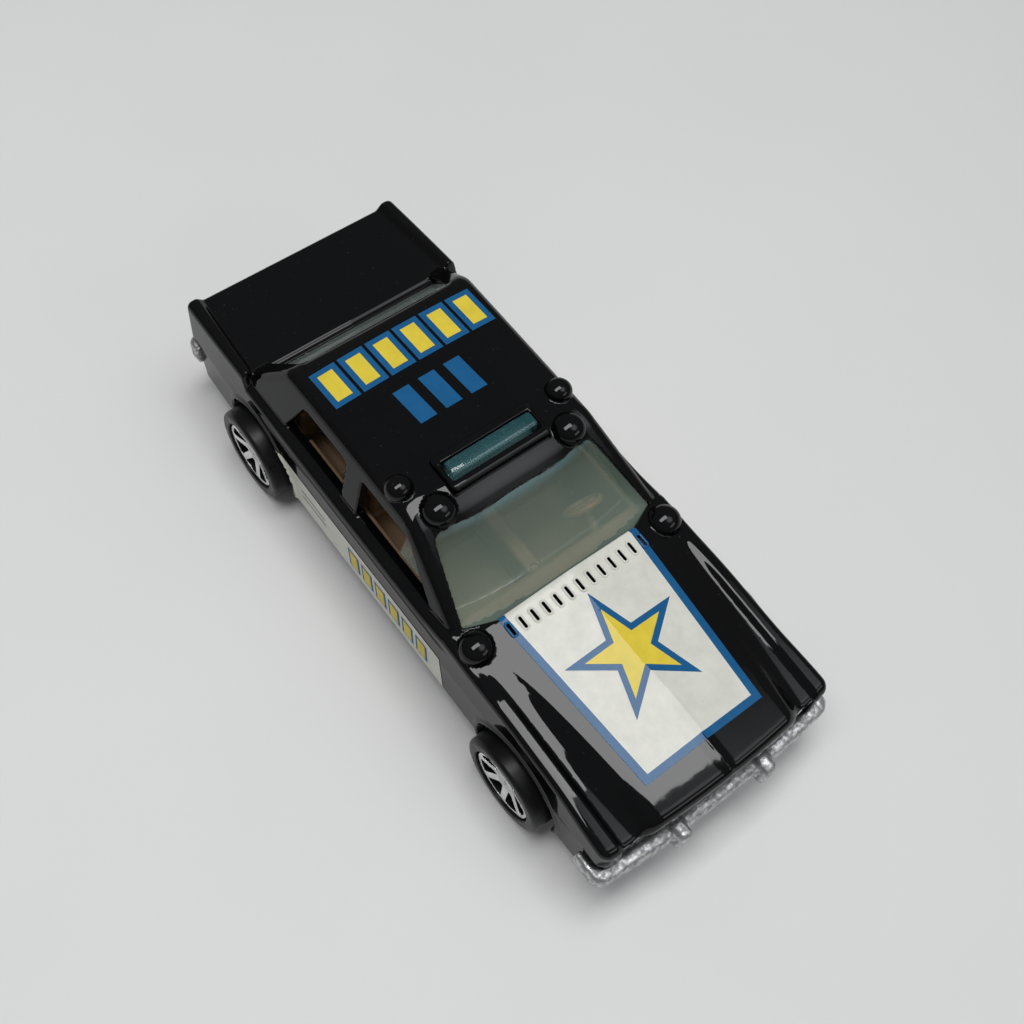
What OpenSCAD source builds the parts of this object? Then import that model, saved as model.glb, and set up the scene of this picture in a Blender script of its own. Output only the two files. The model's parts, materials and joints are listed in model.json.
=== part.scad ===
// Small die-cast toy saloon car: painted shell, bare base, clear insert, tub, axles and wheels.
// Millimetres. +X points to the nose, +Y to the car's left, +Z up, and the ground is z = 0.

/* [Running gear] */
// Distance between the two axles
wheelbase = 44.9; // [41:0.1:49]
// How far the middle of the wheelbase lies ahead of the origin
axle_lead = 0.7; // [0.4:0.1:1]
// Distance from the front axle forward to the nose
front_overhang = 12.85; // [11.5:0.05:14]
// Distance from the rear axle back to the tail
rear_overhang = 14.25; // [13:0.05:15.5]
// Radius of a wheel
wheel_r = 5.3; // [4.8:0.1:5.8]
// Width of a wheel
wheel_w = 4; // [3.6:0.1:4.4]
// How far a wheel's face stands out from the body's crease
wheel_stand = 1.7; // [1.4:0.1:2]
// Radius of the bright ring on a wheel's face
rim_r = 3.75; // [3.4:0.05:4]
// Number of spokes on a wheel
spoke_count = 7; // [5:1:9]
// Radius of an axle wire
axle_r = 0.6; // [0.5:0.05:0.7]

/* [Body] */
// Half width at the crease, the widest line of the body
body_half = 13.8; // [12.8:0.1:14.8]
// Height of the sill's lower edge
sill_z = 3.2; // [2.8:0.1:3.8]
// Height of the crease along the side
crease_z = 10; // [9:0.1:11]
// Height of the belt line under the side windows
belt_z = 14.2; // [13.6:0.1:15]
// How far the sides draw in from the crease to the sill
sill_tuck = 0.7; // [0.3:0.05:1]
// How far the sides draw in from the crease to the shoulder
shoulder_tuck = 0.2; // [0.1:0.05:0.4]
// Thickness of the shell
wall = 1.1; // [0.9:0.05:1.2]

/* [Hood and deck] */
// Height of the hood's rear edge above the belt
cowl_rise = 1.8; // [1.4:0.1:2.2]
// Fall of the hood from its rear edge to where the nose starts to round
hood_fall = 1.1; // [0.8:0.1:1.4]
// Further drop over the round of the nose
nose_drop = 1.2; // [0.8:0.1:1.4]
// Width of a valley's floor beside the hood's raised middle, at the nose
valley_w = 2.05; // [1.6:0.05:2.5]
// How much narrower the valley's floor is at the hood's rear edge
valley_taper = 1.3; // [0.8:0.05:1.5]
// Depth of the valleys beside the raised middle at the hood's rear edge
valley_depth = 1; // [0.6:0.1:1.2]
// How much deeper the valleys are near the nose
valley_gain = 0.4; // [0.2:0.05:0.6]
// Height of a front fender's ridge above the valley
ridge_rise = 0.45; // [0.3:0.05:0.6]
// Height of the deck's front edge above the belt
deck_rise = 0.9; // [0.6:0.1:1.2]
// Fall of the deck to the tail
deck_fall = 0.8; // [0.5:0.1:1]
// Height of the rear fins above the deck
fin_rise = 0.8; // [0.5:0.1:1]

/* [Cabin] */
// Height of the roof's middle above the belt
cabin_h = 7.1; // [6.7:0.1:7.6]
// How far the roof's edges lie in from the cabin's foot
roof_tuck = 1.9; // [1.6:0.1:2.2]
// Distance from the origin forward to the roof's front corners
roof_front = 1.2; // [0.8:0.1:1.6]
// Length of the roof along its edges
roof_length = 20.1; // [18:0.1:22]
// How far the windscreen's foot lies ahead of the roof
screen_run = 9.4; // [8.6:0.1:10.2]
// How far the rear pillars' feet lie behind the roof
sail_run = 5.5; // [4.8:0.1:6.2]
// How far the rear window's foot lies ahead of the rear pillars' feet
recess_run = 1.8; // [1.2:0.1:2.4]
// Height of the roof's edge over the side windows
cant_rail = 1.7; // [1.5:0.05:1.9]
// Width of the pillar between the side windows
b_pillar_w = 1.6; // [1.2:0.1:2]
// Thickness of the clear insert
glass_t = 0.8; // [0.6:0.05:0.9]
// Length of the roof light across the car
light_w = 10; // [8.6:0.1:11]
// Height of the roof light above the roof
light_rise = 1.2; // [0.9:0.1:1.5]

/* [Base] */
// Height of the base's flat underside
base_z = 2.6; // [2.2:0.1:3]
// Thickness of the base's floor
base_t = 1; // [0.8:0.05:1.2]
// How far the front guards stand out from the nose
front_stand = 2; // [1.8:0.1:2.4]
// How far the rear guards stand out from the tail
rear_stand = 2; // [1.8:0.1:2.4]
// How far the front bumper's ends stand out from the crease
bumper_side = 0.9; // [0.7:0.1:1.1]
// Height of the bumpers' lower edges
bumper_z = 6.4; // [5.8:0.1:6.8]
// Height of the bumpers' bars
bumper_h = 2.5; // [2.1:0.1:2.8]

/* [Hidden] */

// Clearances and cuts
fit_gap = 0.1;
running_gap = 0.05;
arch_gap = 0.7;
overrun = 1;
round_faces = 48;
hull_faces = 24;
$fn = round_faces;

// Axles and the two ends of the body
front_axle_x = axle_lead + wheelbase / 2;
rear_axle_x = axle_lead - wheelbase / 2;
axle_xs = [front_axle_x, rear_axle_x];
axle_z = wheel_r;
nose_reach = front_axle_x + front_overhang;
tail_reach = rear_overhang - rear_axle_x;

// Widths of the lower body and of the cabin
sill_half = body_half - sill_tuck;
belt_half = body_half - shoulder_tuck;
ridge_inset = 0.9;
ridge_half = belt_half - ridge_inset;
cabin_inset = 0.9;
cabin_half = belt_half - cabin_inset;
roof_half = cabin_half - roof_tuck;

// Places of the cabin along the car
roof_rear = roof_length - roof_front;
screen_base_x = roof_front + screen_run;
cowl_lead = 1.9;
cowl_x = screen_base_x + cowl_lead;
sail_base = roof_rear + sail_run;
deck_lead = 0.1;
deck_start = sail_base - deck_lead;

// Lower body: how the plan draws in towards the ends
nose_draw = 0.35;
tail_draw = 0.5;
nose_draw_power = 6;
tail_draw_power = 3;

// Lower body: lines along the car that shape each cross-section
nose_round = 2.2;
tail_round = 0.8;
tail_drop = 1;
fin_drop = 0.3;
cowl_blend = 1;
deck_blend = 2.2;
hood_crown = 0.35;
ridge_w = 0.8;
ridge_run = 0.85;
valley_run = 1.6;
valley_end = 0.4;
shoulder_drop = 0.6;
valley_half = ridge_half - ridge_w / 2 - ridge_run;
cowl_z = belt_z + cowl_rise;
hood_end_z = cowl_z - hood_fall;
deck_z = belt_z + deck_rise;
deck_end_z = deck_z - deck_fall;
centre_line = [
    [-tail_reach, deck_end_z - tail_drop],
    [tail_round - tail_reach, deck_end_z],
    [-deck_start, deck_z],
    [deck_blend - deck_start, belt_z],
    [cowl_x - cowl_blend, belt_z],
    [cowl_x, cowl_z],
    [nose_reach - nose_round, hood_end_z],
    [nose_reach, hood_end_z - nose_drop]
];
edge_fall_line = [[cowl_x - cowl_blend, 0], [cowl_x, hood_crown]];
valley_fall_line = [
    [cowl_x - cowl_blend, 0],
    [cowl_x, valley_depth],
    [nose_reach - nose_round, valley_depth + valley_gain],
    [nose_reach, valley_end]
];
ridge_rise_line = [
    [-tail_reach, fin_rise + tail_drop - fin_drop],
    [tail_round - tail_reach, fin_rise],
    [-deck_start, fin_rise],
    [deck_blend - deck_start, 0],
    [cowl_x - cowl_blend, 0],
    [cowl_x, ridge_rise],
    [nose_reach, ridge_rise]
];
valley_w_line = [[cowl_x, valley_w - valley_taper], [nose_reach, valley_w]];

// Stations of the lower body: where its lines bend, with shares of the stretches between them
tail_shares = [0.2, 0.45, 0.7];
hood_shares = [0.15, 0.4, 0.65, 0.85];
round_shares = [0.45, 0.8];
nose_start = nose_reach - nose_round;
tail_start = tail_reach - tail_round;
station_xs = concat(
    [-tail_reach, -tail_start],
    [for (s = tail_shares) s * (tail_start - deck_start) - tail_start],
    [-deck_start, deck_blend - deck_start, -roof_front, cowl_x - cowl_blend, cowl_x],
    [for (s = hood_shares) cowl_x + s * (nose_start - cowl_x)],
    [nose_start],
    [for (s = round_shares) nose_start + s * nose_round],
    [nose_reach]
);

// Cabin: corner round and the slopes of its faces
cabin_corner_r = 2.3;
roof_edge_drop = 0.7;
roof_z = belt_z + cabin_h;
roof_edge_z = roof_z - roof_edge_drop;
cabin_sink = 1.7;
cabin_low_z = belt_z - cabin_sink;
screen_base_rise = 1;
screen_base_z = belt_z + screen_base_rise;
screen_bow = 1.6;
sail_base_rise = 1.2;
sail_base_z = belt_z + sail_base_rise;
recess_foot = sail_base - recess_run;
recess_sink = 0.15;
recess_low_z = deck_z - recess_sink;
recess_top_inset = 1.9;
recess_low_inset = 2.4;
recess_top_half = roof_half - recess_top_inset;
recess_low_half = cabin_half - recess_low_inset;
bow_power = 4;
bow_shares = [-1, -0.75, -0.4, 0, 0.4, 0.75, 1];
crown_shares = [0.04, 0.5, 0.88];

// Window openings: frame widths around them, and each side window's span along the car
header_h = 0.7;
screen_top_inset = 1.9;
screen_low_inset = 1.4;
screen_top_half = roof_half - screen_top_inset;
screen_low_half = cabin_half - screen_low_inset;
screen_top_z = roof_edge_z - header_h;
screen_sill_h = 0.1;
screen_low_z = screen_base_z + screen_sill_h;
rear_header_h = 0.7;
rear_low_inset = 3.3;
rear_top_inset = 2;
rear_sill_h = 1.1;
rear_low_half = cabin_half - rear_low_inset;
rear_top_half = roof_half - rear_top_inset;
rear_low_z = deck_z + rear_sill_h;
rear_top_z = roof_edge_z - rear_header_h;
window_low_z = belt_z + fit_gap;
window_top_z = roof_edge_z - cant_rail;
b_pillar_back = 7;
b_pillar_rake = 1.4;
a_pillar_low = 2.5;
window_lead = 0.8;
c_pillar_low = 7;
c_pillar_top = 3.5;
b_foot_x = roof_front - b_pillar_back;
b_head_x = b_foot_x - b_pillar_rake;
front_window_low = [b_foot_x + b_pillar_w / 2, screen_base_x - a_pillar_low];
front_window_top = [b_head_x + b_pillar_w / 2, roof_front + window_lead];
rear_window_low = [c_pillar_low - sail_base, b_foot_x - b_pillar_w / 2];
rear_window_top = [c_pillar_top - roof_rear, b_head_x - b_pillar_w / 2];

// Roof light, its bezel, and the domes on roof and cowl
light_back = 1.45;
light_x = roof_front - light_back;
light_l = 1.7;
light_z = roof_z + light_rise;
bezel_l = 4.2;
bezel_margin = 0.8;
bezel_w = light_w + 2 * bezel_margin;
bezel_rise = 0.6;
bezel_r = 0.5;
dome_sink = 0.6;
outer_dome_r = 1.4;
outer_dome_h = 1.1;
outer_dome_back = 3;
outer_dome_inset = 1.3;
inner_dome_r = 1.75;
inner_dome_h = 1.4;
inner_dome_lead = 0.9;
inner_dome_inset = 3.1;
inner_dome_drop = 0.5;
cowl_dome_lead = 0.9;
cowl_dome_inset = 1.2;
cowl_dome_drop = 1.2;

// Open ends of the shell, where the base's grille and tail panel show
end_pillar = 1.3;
end_lip = 1;
end_half = sill_half - end_pillar;
end_top_z = min(hood_end_z - nose_drop, deck_end_z - tail_drop) - end_lip;
end_depth = 3;
corner_cut_l = 1.3;
corner_cut_z = bumper_z + bumper_h + fit_gap;

// Rivets and the posts that they enter
post_setback = 6;
post_xs = [nose_reach - post_setback, post_setback - tail_reach];
post_r = 2.2;
post_bore_depth = 4;
rivet_r = 1;
rivet_head_r = 1.7;
rivet_head_h = 0.5;

// Base
base_top_z = base_z + base_t;
base_half = sill_half - wall - fit_gap;
wheel_room = wheel_r + arch_gap;
wheel_face_y = body_half + wheel_stand;
wheel_inner_y = wheel_face_y - wheel_w;
ear_t = 1.4;
ear_l = 3.4;
ear_side_gap = 0.6;
ear_y = wheel_inner_y - ear_side_gap;
axle_slot_r = axle_r + running_gap;
ear_top_z = axle_z + axle_slot_r;
panel_t = 1.2;
panel_gap = 1.4;
panel_half = end_half - fit_gap;
panel_root = panel_t / 2;
bar_t = 1.2;
bumper_corner_r = 1.3;
bumper_half = body_half + bumper_side;
arm_t = bumper_side - fit_gap;
arm_l = 4.2;
rear_arm_l = 2.2;
guard_y = 5.3;
guard_w = 1.6;
guard_h = 3.6;
guard_stand = 1;
lamp_r = 1.25;
lamp_h = 0.5;
lamp_drop = 1.7;
lamp_z = end_top_z - lamp_drop;
outer_lamp_inset = 1.8;
lamp_pitch = 2.9;
grille_bar_count = 11;
grille_bar_w = 0.35;
grille_bar_h = 0.4;
grille_half = 5;
grille_lift = 0.5;
grille_low_z = bumper_z + bumper_h + grille_lift;
tail_lamp_w = 5.6;
tail_lamp_h = 1.7;
tail_lamp_inset = 4.3;

// Tub
tub_floor_t = 1;
tub_half = cabin_half - wall - fit_gap;
tub_rear_half = ear_y - fit_gap;
tub_nose_gap = 0.2;
tub_tail = 1.5;
tub_front_x = cowl_x - tub_nose_gap;
tub_step_x = rear_axle_x + wheel_room + fit_gap;
tub_rear_x = -roof_rear - tub_tail;
trim_t = 0.7;
trim_drop = 1.3;
trim_z = belt_z - trim_drop;
seat_drop = 0.4;
seat_top_z = belt_z - seat_drop;
seat_gap = 1.6;
seat_w = tub_half - trim_t - seat_gap;
seat_y = seat_gap / 2 + seat_w / 2;
cushion_h = 4;
cushion_l = 6.6;
front_seat_back = 2.8;
front_seat_x = b_foot_x - front_seat_back;
back_t = 2.1;
back_r = 0.8;
dash_l = 2.9;
dash_x = tub_front_x - dash_l;
dash_h = 3.9;
console_h = 5;
console_half = seat_gap / 2 + fit_gap;
steering_r = 2.3;
steering_wire_r = 0.32;
steering_reach = 2.8;
steering_drop = 1;
steering_tilt = 55;
steering_hub_r = 0.6;
column_l = 3.6;
bridge_t = 1;
bridge_half = 5;

// Axles
axle_head_r = 0.95;
axle_head_t = 0.3;
head_gap = 0.1;
head_pocket_r = axle_head_r + fit_gap;
head_pocket_depth = 0.7;

// Wheels
bore_r = axle_r + running_gap;
shoulder_r = 0.5;
dish_depth = 0.9;
rim_seat = 0.15;
dish_r = rim_r + rim_seat;
hub_r = 1.4;
hub_ledge = 0.1;
rim_ring_w = 0.32;
spoke_inner_w = 0.8;
spoke_outer_w = 1.15;
back_pocket_r = 4;
back_pocket_depth = 1.6;
back_hub_r = 1.6;
foil_t = 0.1;
spoke_rise = dish_depth - foil_t - fit_gap;
spoke_root = 0.3;

// Mirrored pair about the car's centre plane
module both_sides() {
    children();
    mirror([0, 1, 0]) children();
}

// Solid between rings of points, one ring per station along X
module loft(stations, rings) {
    n = len(rings[0]);
    last = len(stations) - 1;
    points = [for (i = [0:last]) for (p = rings[i]) [stations[i], p.x, p.y]];
    sides = [
        for (i = [0:last - 1]) for (j = [0:n - 1])
            let (a = i * n + j, d = i * n + (j + 1) % n)
                each [[a, a + n, d + n], [a, d + n, d]]
    ];
    caps = [[for (j = [0:n - 1]) j], [for (j = [n - 1:-1:0]) last * n + j]];
    polyhedron(points, concat(sides, caps), convexity = 6);
}

// Reach of the body at the end nearest to a place along the car
function end_reach(x) = x > 0 ? nose_reach : tail_reach;

// How far the sides draw in at a place along the car
function draw(x) = x > 0
    ? nose_draw * pow(x / nose_reach, nose_draw_power)
    : tail_draw * pow(-x / tail_reach, tail_draw_power);

// Half of a cross-section, from the sill up to the centre line, moved in by inset
function half_section(x, inset, low_z) =
    let (
        d = draw(x) + inset,
        centre_z = lookup(x, centre_line) - inset,
        edge_z = centre_z - lookup(x, edge_fall_line),
        valley_z = edge_z - lookup(x, valley_fall_line),
        ridge_z = valley_z + lookup(x, ridge_rise_line),
        floor_half = valley_half - lookup(x, valley_w_line)
    ) [
        [sill_half - d, low_z],
        [body_half - d, crease_z],
        [belt_half - d, ridge_z - shoulder_drop],
        [ridge_half - d + ridge_w / 2, ridge_z],
        [ridge_half - d - ridge_w / 2, ridge_z],
        [valley_half - d, valley_z],
        [floor_half - d, valley_z],
        [floor_half - valley_run - d, edge_z],
        [0, centre_z]
    ];

function section(x, inset, low_z) =
    let (half = half_section(x, inset, low_z))
        concat(half, [for (i = [len(half) - 2:-1:0]) [-half[i].x, half[i].y]]);

// Stations moved in from the ends by inset
function inset_stations(inset) = [for (x = station_xs) x * (1 - inset / end_reach(x))];

// Lower body, or its hollow when inset is the wall
module lower_body(inset, low_z) {
    xs = inset_stations(inset);
    loft(xs, [for (x = xs) section(x, inset, low_z)]);
}

// Cabin as a hull over rounded corners, moved in by inset
function slope_x(z, top_x, base_x, base_z) =
    top_x + (base_x - top_x) * (roof_edge_z - z) / (roof_edge_z - base_z);
function cabin_half_at(z) = slope_x(z, roof_half, cabin_half, belt_z);

// Level reach of a distance that is measured square to a slope
function lean(run, rise) = sqrt(run * run + rise * rise) / rise;
screen_lean = lean(screen_run, roof_edge_z - screen_base_z);
sail_lean = lean(sail_run, roof_edge_z - sail_base_z);
side_lean = lean(roof_tuck, roof_edge_z - belt_z);
recess_lean = lean(recess_foot - roof_rear, roof_edge_z - recess_low_z);

module cabin(inset) {
    r = cabin_corner_r - inset;
    c = cabin_corner_r;
    top_z = roof_edge_z - c;
    hull() {
        for (z = [top_z, cabin_low_z]) {
            half = cabin_half_at(z) - c * side_lean;
            front_x = slope_x(z, roof_front, screen_base_x, screen_base_z) - c * screen_lean;
            rear_x = -slope_x(z, roof_rear, sail_base, sail_base_z) + c * sail_lean;
            for (s = bow_shares)
                translate([front_x + screen_bow * (1 - pow(s, bow_power)), s * half, z])
                    sphere(r, $fn = hull_faces);
            both_sides() translate([rear_x, half, z]) sphere(r, $fn = hull_faces);
        }
        for (along_share = crown_shares, s = bow_shares)
            translate([
                roof_front - along_share * (roof_front + roof_rear),
                s * (roof_half - c),
                roof_z - c - roof_edge_drop * s * s
            ]) sphere(r, $fn = hull_faces);
    }
}

// Space behind the rear window, between the rear pillars, grown by inset
module rear_recess(inset) {
    top_half = recess_top_half + inset;
    low_half = recess_low_half + inset;
    low_z = recess_low_z - inset;
    ahead = inset * recess_lean;
    back_x = -sail_base - overrun;
    intersection() {
        along([
            [-low_half, low_z], [low_half, low_z], [top_half, roof_edge_z], [-top_half, roof_edge_z]
        ], back_x, 0);
        across([
            [ahead - slope_x(low_z, roof_rear, recess_foot, recess_low_z), low_z],
            [ahead - roof_rear, roof_edge_z],
            [back_x, roof_edge_z], [back_x, low_z]
        ]);
    }
}

module recessed_cabin(inset) {
    difference() {
        cabin(inset);
        rear_recess(inset);
    }
}

// Dome lamp standing on the shell
module dome(x, half, z, r, h) {
    both_sides() translate([x, half, z]) hull() {
        translate([0, 0, -dome_sink]) cylinder(r = r, h = dome_sink, $fn = hull_faces);
        intersection() {
            scale([1, 1, h / r]) sphere(r, $fn = hull_faces);
            cylinder(r = r, h = h, $fn = hull_faces);
        }
    }
}

module bezel() {
    top_z = roof_z + bezel_rise - bezel_r;
    hull() for (x = [-1, 1], y = [-1, 1])
        translate([light_x + x * (bezel_l / 2 - bezel_r), y * (bezel_w / 2 - bezel_r), 0]) {
            translate([0, 0, top_z]) sphere(bezel_r, $fn = hull_faces);
            translate([0, 0, roof_edge_z]) sphere(bezel_r, $fn = hull_faces);
        }
}

// Prism across the car from an outline in X and Z
module across(outline) {
    translate([0, body_half + overrun, 0]) rotate([90, 0, 0])
        linear_extrude(2 * (body_half + overrun)) polygon(outline);
}

// Prism along the car from an outline in Y and Z
module along(outline, from_x, to_x) {
    translate([from_x, 0, 0]) rotate([90, 0, 90]) linear_extrude(to_x - from_x) polygon(outline);
}

module side_window(low, top) {
    across([
        [low[0], window_low_z], [low[1], window_low_z],
        [top[1], window_top_z], [top[0], window_top_z]
    ]);
}

module side_windows() {
    side_window(front_window_low, front_window_top);
    side_window(rear_window_low, rear_window_top);
}

module end_windows() {
    along([
        [-screen_low_half, screen_low_z], [screen_low_half, screen_low_z],
        [screen_top_half, screen_top_z], [-screen_top_half, screen_top_z]
    ], roof_front - screen_bow, cowl_x - cowl_blend / 2);
    along([
        [-rear_low_half, rear_low_z], [rear_low_half, rear_low_z],
        [rear_top_half, rear_top_z], [-rear_top_half, rear_top_z]
    ], -sail_base - overrun, overrun - roof_rear);
}

// Slot in the roof for the light, or the light itself when gap is zero
module light_block(gap, low_z, top_z) {
    translate([light_x - light_l / 2 - gap, -light_w / 2 - gap, low_z])
        cube([light_l + 2 * gap, light_w + 2 * gap, top_z - low_z]);
}

module wheel_arches() {
    for (x = axle_xs) both_sides()
        translate([x, wheel_inner_y - ear_side_gap, axle_z]) rotate([-90, 0, 0])
            cylinder(r = wheel_room, h = body_half);
}

// Opening at an end of the shell for the grille or the tail panel, with the lower corners cut away
module end_opening(reach) {
    translate([reach - end_depth, -end_half, 0]) cube([end_depth + overrun, 2 * end_half, end_top_z]);
    translate([reach - corner_cut_l, -body_half - overrun, 0])
        cube([corner_cut_l + overrun, 2 * (body_half + overrun), corner_cut_z]);
}

module posts() {
    for (x = post_xs) translate([x, 0, base_top_z])
        cylinder(r = post_r, h = lookup(x, centre_line) - wall / 2 - base_top_z);
}

module post_bores() {
    for (x = post_xs) translate([x, 0, base_top_z - overrun])
        cylinder(r = rivet_r + running_gap, h = post_bore_depth + overrun);
}

module body_shell() color("black") {
    difference() {
        union() {
            difference() {
                union() {
                    lower_body(0, sill_z);
                    recessed_cabin(0);
                    bezel();
                }
                lower_body(wall, sill_z - overrun);
                recessed_cabin(wall);
            }
            posts();
            dome(
                roof_front - outer_dome_back, roof_half - outer_dome_inset, roof_edge_z,
                outer_dome_r, outer_dome_h
            );
            dome(
                roof_front + inner_dome_lead, roof_half - inner_dome_inset, roof_edge_z - inner_dome_drop,
                inner_dome_r, inner_dome_h
            );
            dome(
                cowl_x + cowl_dome_lead, ridge_half - cowl_dome_inset, cowl_z - cowl_dome_drop,
                inner_dome_r, inner_dome_h
            );
        }
        side_windows();
        end_windows();
        light_block(fit_gap, roof_edge_z - cabin_corner_r, light_z + overrun);
        wheel_arches();
        end_opening(nose_reach);
        mirror([1, 0, 0]) end_opening(tail_reach);
        post_bores();
    }
}

// Clear insert: windscreen, rear window, the bridge under the roof and the light
module window_insert() color("lightcyan", 0.6) {
    outer = wall + fit_gap;
    front_cut = front_window_top[1];
    rear_cut = rear_window_top[0];
    intersection() {
        difference() {
            recessed_cabin(outer);
            recessed_cabin(outer + glass_t);
            side_windows();
        }
        union() {
            translate([front_cut, -cabin_half, screen_base_z])
                cube([cowl_x, 2 * cabin_half, roof_z]);
            translate([-sail_base, -cabin_half, rear_low_z - overrun])
                cube([sail_base + rear_cut, 2 * cabin_half, roof_z]);
            translate([rear_cut - overrun, -light_w / 2, window_top_z])
                cube([front_cut - rear_cut + 2 * overrun, light_w, roof_z]);
        }
    }
    light_block(0, roof_z - wall - fit_gap - glass_t, light_z);
}

// Rounded slab standing on its lower edge, long side across the car
module seat_back(x, y, w, low_z, top_z) {
    translate([x, y - w / 2, low_z]) {
        cube([back_t, w, top_z - back_r - low_z]);
        translate([back_r, 0, 0]) cube([back_t - 2 * back_r, w, top_z - low_z]);
        for (dx = [back_r, back_t - back_r]) translate([dx, 0, top_z - back_r - low_z])
            rotate([-90, 0, 0]) cylinder(r = back_r, h = w);
    }
}

module seat(x, y, w) {
    seat_back(x, y, w, base_top_z, seat_top_z);
    translate([x + back_t / 2, y - w / 2, base_top_z])
        cube([back_t / 2 + cushion_l, w, tub_floor_t + cushion_h]);
}

module steering() {
    translate([dash_x - steering_reach, seat_y, belt_z - steering_drop]) rotate([0, -steering_tilt, 0]) {
        rotate_extrude() translate([steering_r - steering_wire_r, 0]) circle(steering_wire_r);
        translate([-steering_wire_r, steering_wire_r - steering_r, -steering_wire_r])
            cube([2 * steering_wire_r, 2 * (steering_r - steering_wire_r), 2 * steering_wire_r]);
        translate([0, 0, -column_l]) cylinder(r = steering_hub_r, h = column_l + steering_wire_r);
    }
}

// Box that is centred across the car, from one place along it to another and between two heights
module slab(from_x, to_x, half, low_z, top_z) {
    translate([from_x, -half, low_z]) cube([to_x - from_x, 2 * half, top_z - low_z]);
}

module tub_moulding() {
    floor_z = base_top_z + tub_floor_t;
    slab(tub_step_x, tub_front_x, tub_half, base_top_z, floor_z);
    slab(tub_rear_x, front_seat_x, tub_rear_half, base_top_z, floor_z);
    both_sides() translate([tub_step_x, tub_half - trim_t, base_top_z])
        cube([tub_front_x - tub_step_x, trim_t, trim_z - base_top_z]);
    both_sides() seat(front_seat_x, seat_y, seat_w);
    seat(tub_rear_x, 0, 2 * tub_rear_half);
    slab(front_seat_x + back_t / 2, tub_front_x, console_half, base_top_z, floor_z + console_h);
    slab(dash_x, tub_front_x, tub_half, trim_z - dash_h, trim_z);
    slab(tub_front_x - trim_t, tub_front_x, bridge_half, base_top_z, trim_z);
    steering();
}

// The moulding clears the ears and the axles, and its bridges keep the axles down in their slots
module interior_tub() color("sienna") {
    difference() {
        tub_moulding();
        for (x = axle_xs)
            slab(x - ear_l / 2 - fit_gap, x + ear_l / 2 + fit_gap, ear_y + fit_gap, base_z, ear_top_z);
    }
    slab(tub_front_x - trim_t, front_axle_x, bridge_half, ear_top_z, ear_top_z + bridge_t);
    slab(rear_axle_x, tub_step_x, bridge_half, ear_top_z, ear_top_z + bridge_t);
    for (x = axle_xs)
        slab(x - ear_l / 2, x + ear_l / 2, ear_y, ear_top_z, ear_top_z + bridge_t);
}

// Plan of a bumper bar with rounded corners and arms that run back along the sides
module bumper_plan(face_x, half, arm) {
    r = min(bumper_corner_r, arm / 2);
    difference() {
        union() {
            translate([face_x - arm, -half]) square([arm - r, 2 * half]);
            translate([face_x - r, r - half]) square([r, 2 * (half - r)]);
            for (y = [-1, 1]) translate([face_x - r, y * (half - r)]) circle(r);
        }
        translate([face_x - arm - overrun, arm_t - half])
            square([arm + overrun - bar_t, 2 * (half - arm_t)]);
    }
}

module guard(from_x, tip_x) {
    round_x = tip_x - guard_w / 2;
    translate([0, guard_y, bumper_z + bumper_h / 2 - guard_h / 2]) {
        translate([from_x, -guard_w / 2, 0]) cube([round_x - from_x, guard_w, guard_h]);
        translate([round_x, 0, 0]) cylinder(r = guard_w / 2, h = guard_h);
    }
}

// Bar, the web that joins it to the upright panel, and two guards
module bumper(reach, stand, half, arm) {
    face_x = reach + stand - guard_stand;
    bar_middle_x = face_x - bar_t / 2;
    translate([0, 0, bumper_z]) linear_extrude(bumper_h) bumper_plan(face_x, half, arm);
    slab(reach - panel_gap - panel_t, bar_middle_x, panel_half, bumper_z, bumper_z + bumper_h);
    both_sides() guard(bar_middle_x, reach + stand);
}

module end_panel(reach) {
    slab(reach - panel_gap - panel_t, reach - panel_gap, panel_half, base_z, end_top_z - fit_gap);
}

module front_face() {
    face_x = nose_reach - panel_gap;
    outer_lamp_y = panel_half - outer_lamp_inset;
    bar_pitch = (2 * grille_half - grille_bar_w) / (grille_bar_count - 1);
    both_sides() for (y = [outer_lamp_y - lamp_pitch, outer_lamp_y])
        translate([face_x - panel_root, y, lamp_z]) rotate([0, 90, 0])
            cylinder(r = lamp_r, h = panel_root + lamp_h);
    for (i = [0:grille_bar_count - 1])
        translate([face_x - panel_root, i * bar_pitch - grille_half, grille_low_z])
            cube([panel_root + grille_bar_h, grille_bar_w, end_top_z - 2 * fit_gap - grille_low_z]);
}

module tail_face() {
    both_sides() translate([
        tail_reach - panel_gap - panel_root,
        panel_half - tail_lamp_inset - tail_lamp_w / 2,
        lamp_z - tail_lamp_h / 2
    ]) cube([panel_root + lamp_h, tail_lamp_w, tail_lamp_h]);
}

// Floor that follows the inside of the shell's sills
module base_floor() {
    inset = panel_gap + panel_root;
    front_x = nose_reach - inset;
    rear_x = inset - tail_reach;
    xs = concat([rear_x], [for (x = inset_stations(wall)) if (x > rear_x && x < front_x) x], [front_x]);
    left = [for (x = xs) [x, base_half - draw(x)]];
    right = [for (i = [len(left) - 1:-1:0]) [left[i].x, -left[i].y]];
    difference() {
        translate([0, 0, base_z]) linear_extrude(base_t) polygon(concat(left, right));
        for (x = axle_xs) both_sides()
            translate([x - wheel_room, ear_y, base_z - overrun])
                cube([2 * wheel_room, base_half, base_t + 2 * overrun]);
    }
}

module axle_ears() {
    for (x = axle_xs) both_sides() difference() {
        translate([x - ear_l / 2, ear_y - ear_t, base_z]) cube([ear_l, ear_t, ear_top_z - base_z]);
        translate([x, ear_y - ear_t - overrun, axle_z]) rotate([-90, 0, 0])
            cylinder(r = axle_slot_r, h = ear_t + 2 * overrun);
        translate([x - axle_slot_r, ear_y - ear_t - overrun, axle_z])
            cube([2 * axle_slot_r, ear_t + 2 * overrun, ear_top_z]);
    }
}

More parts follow.
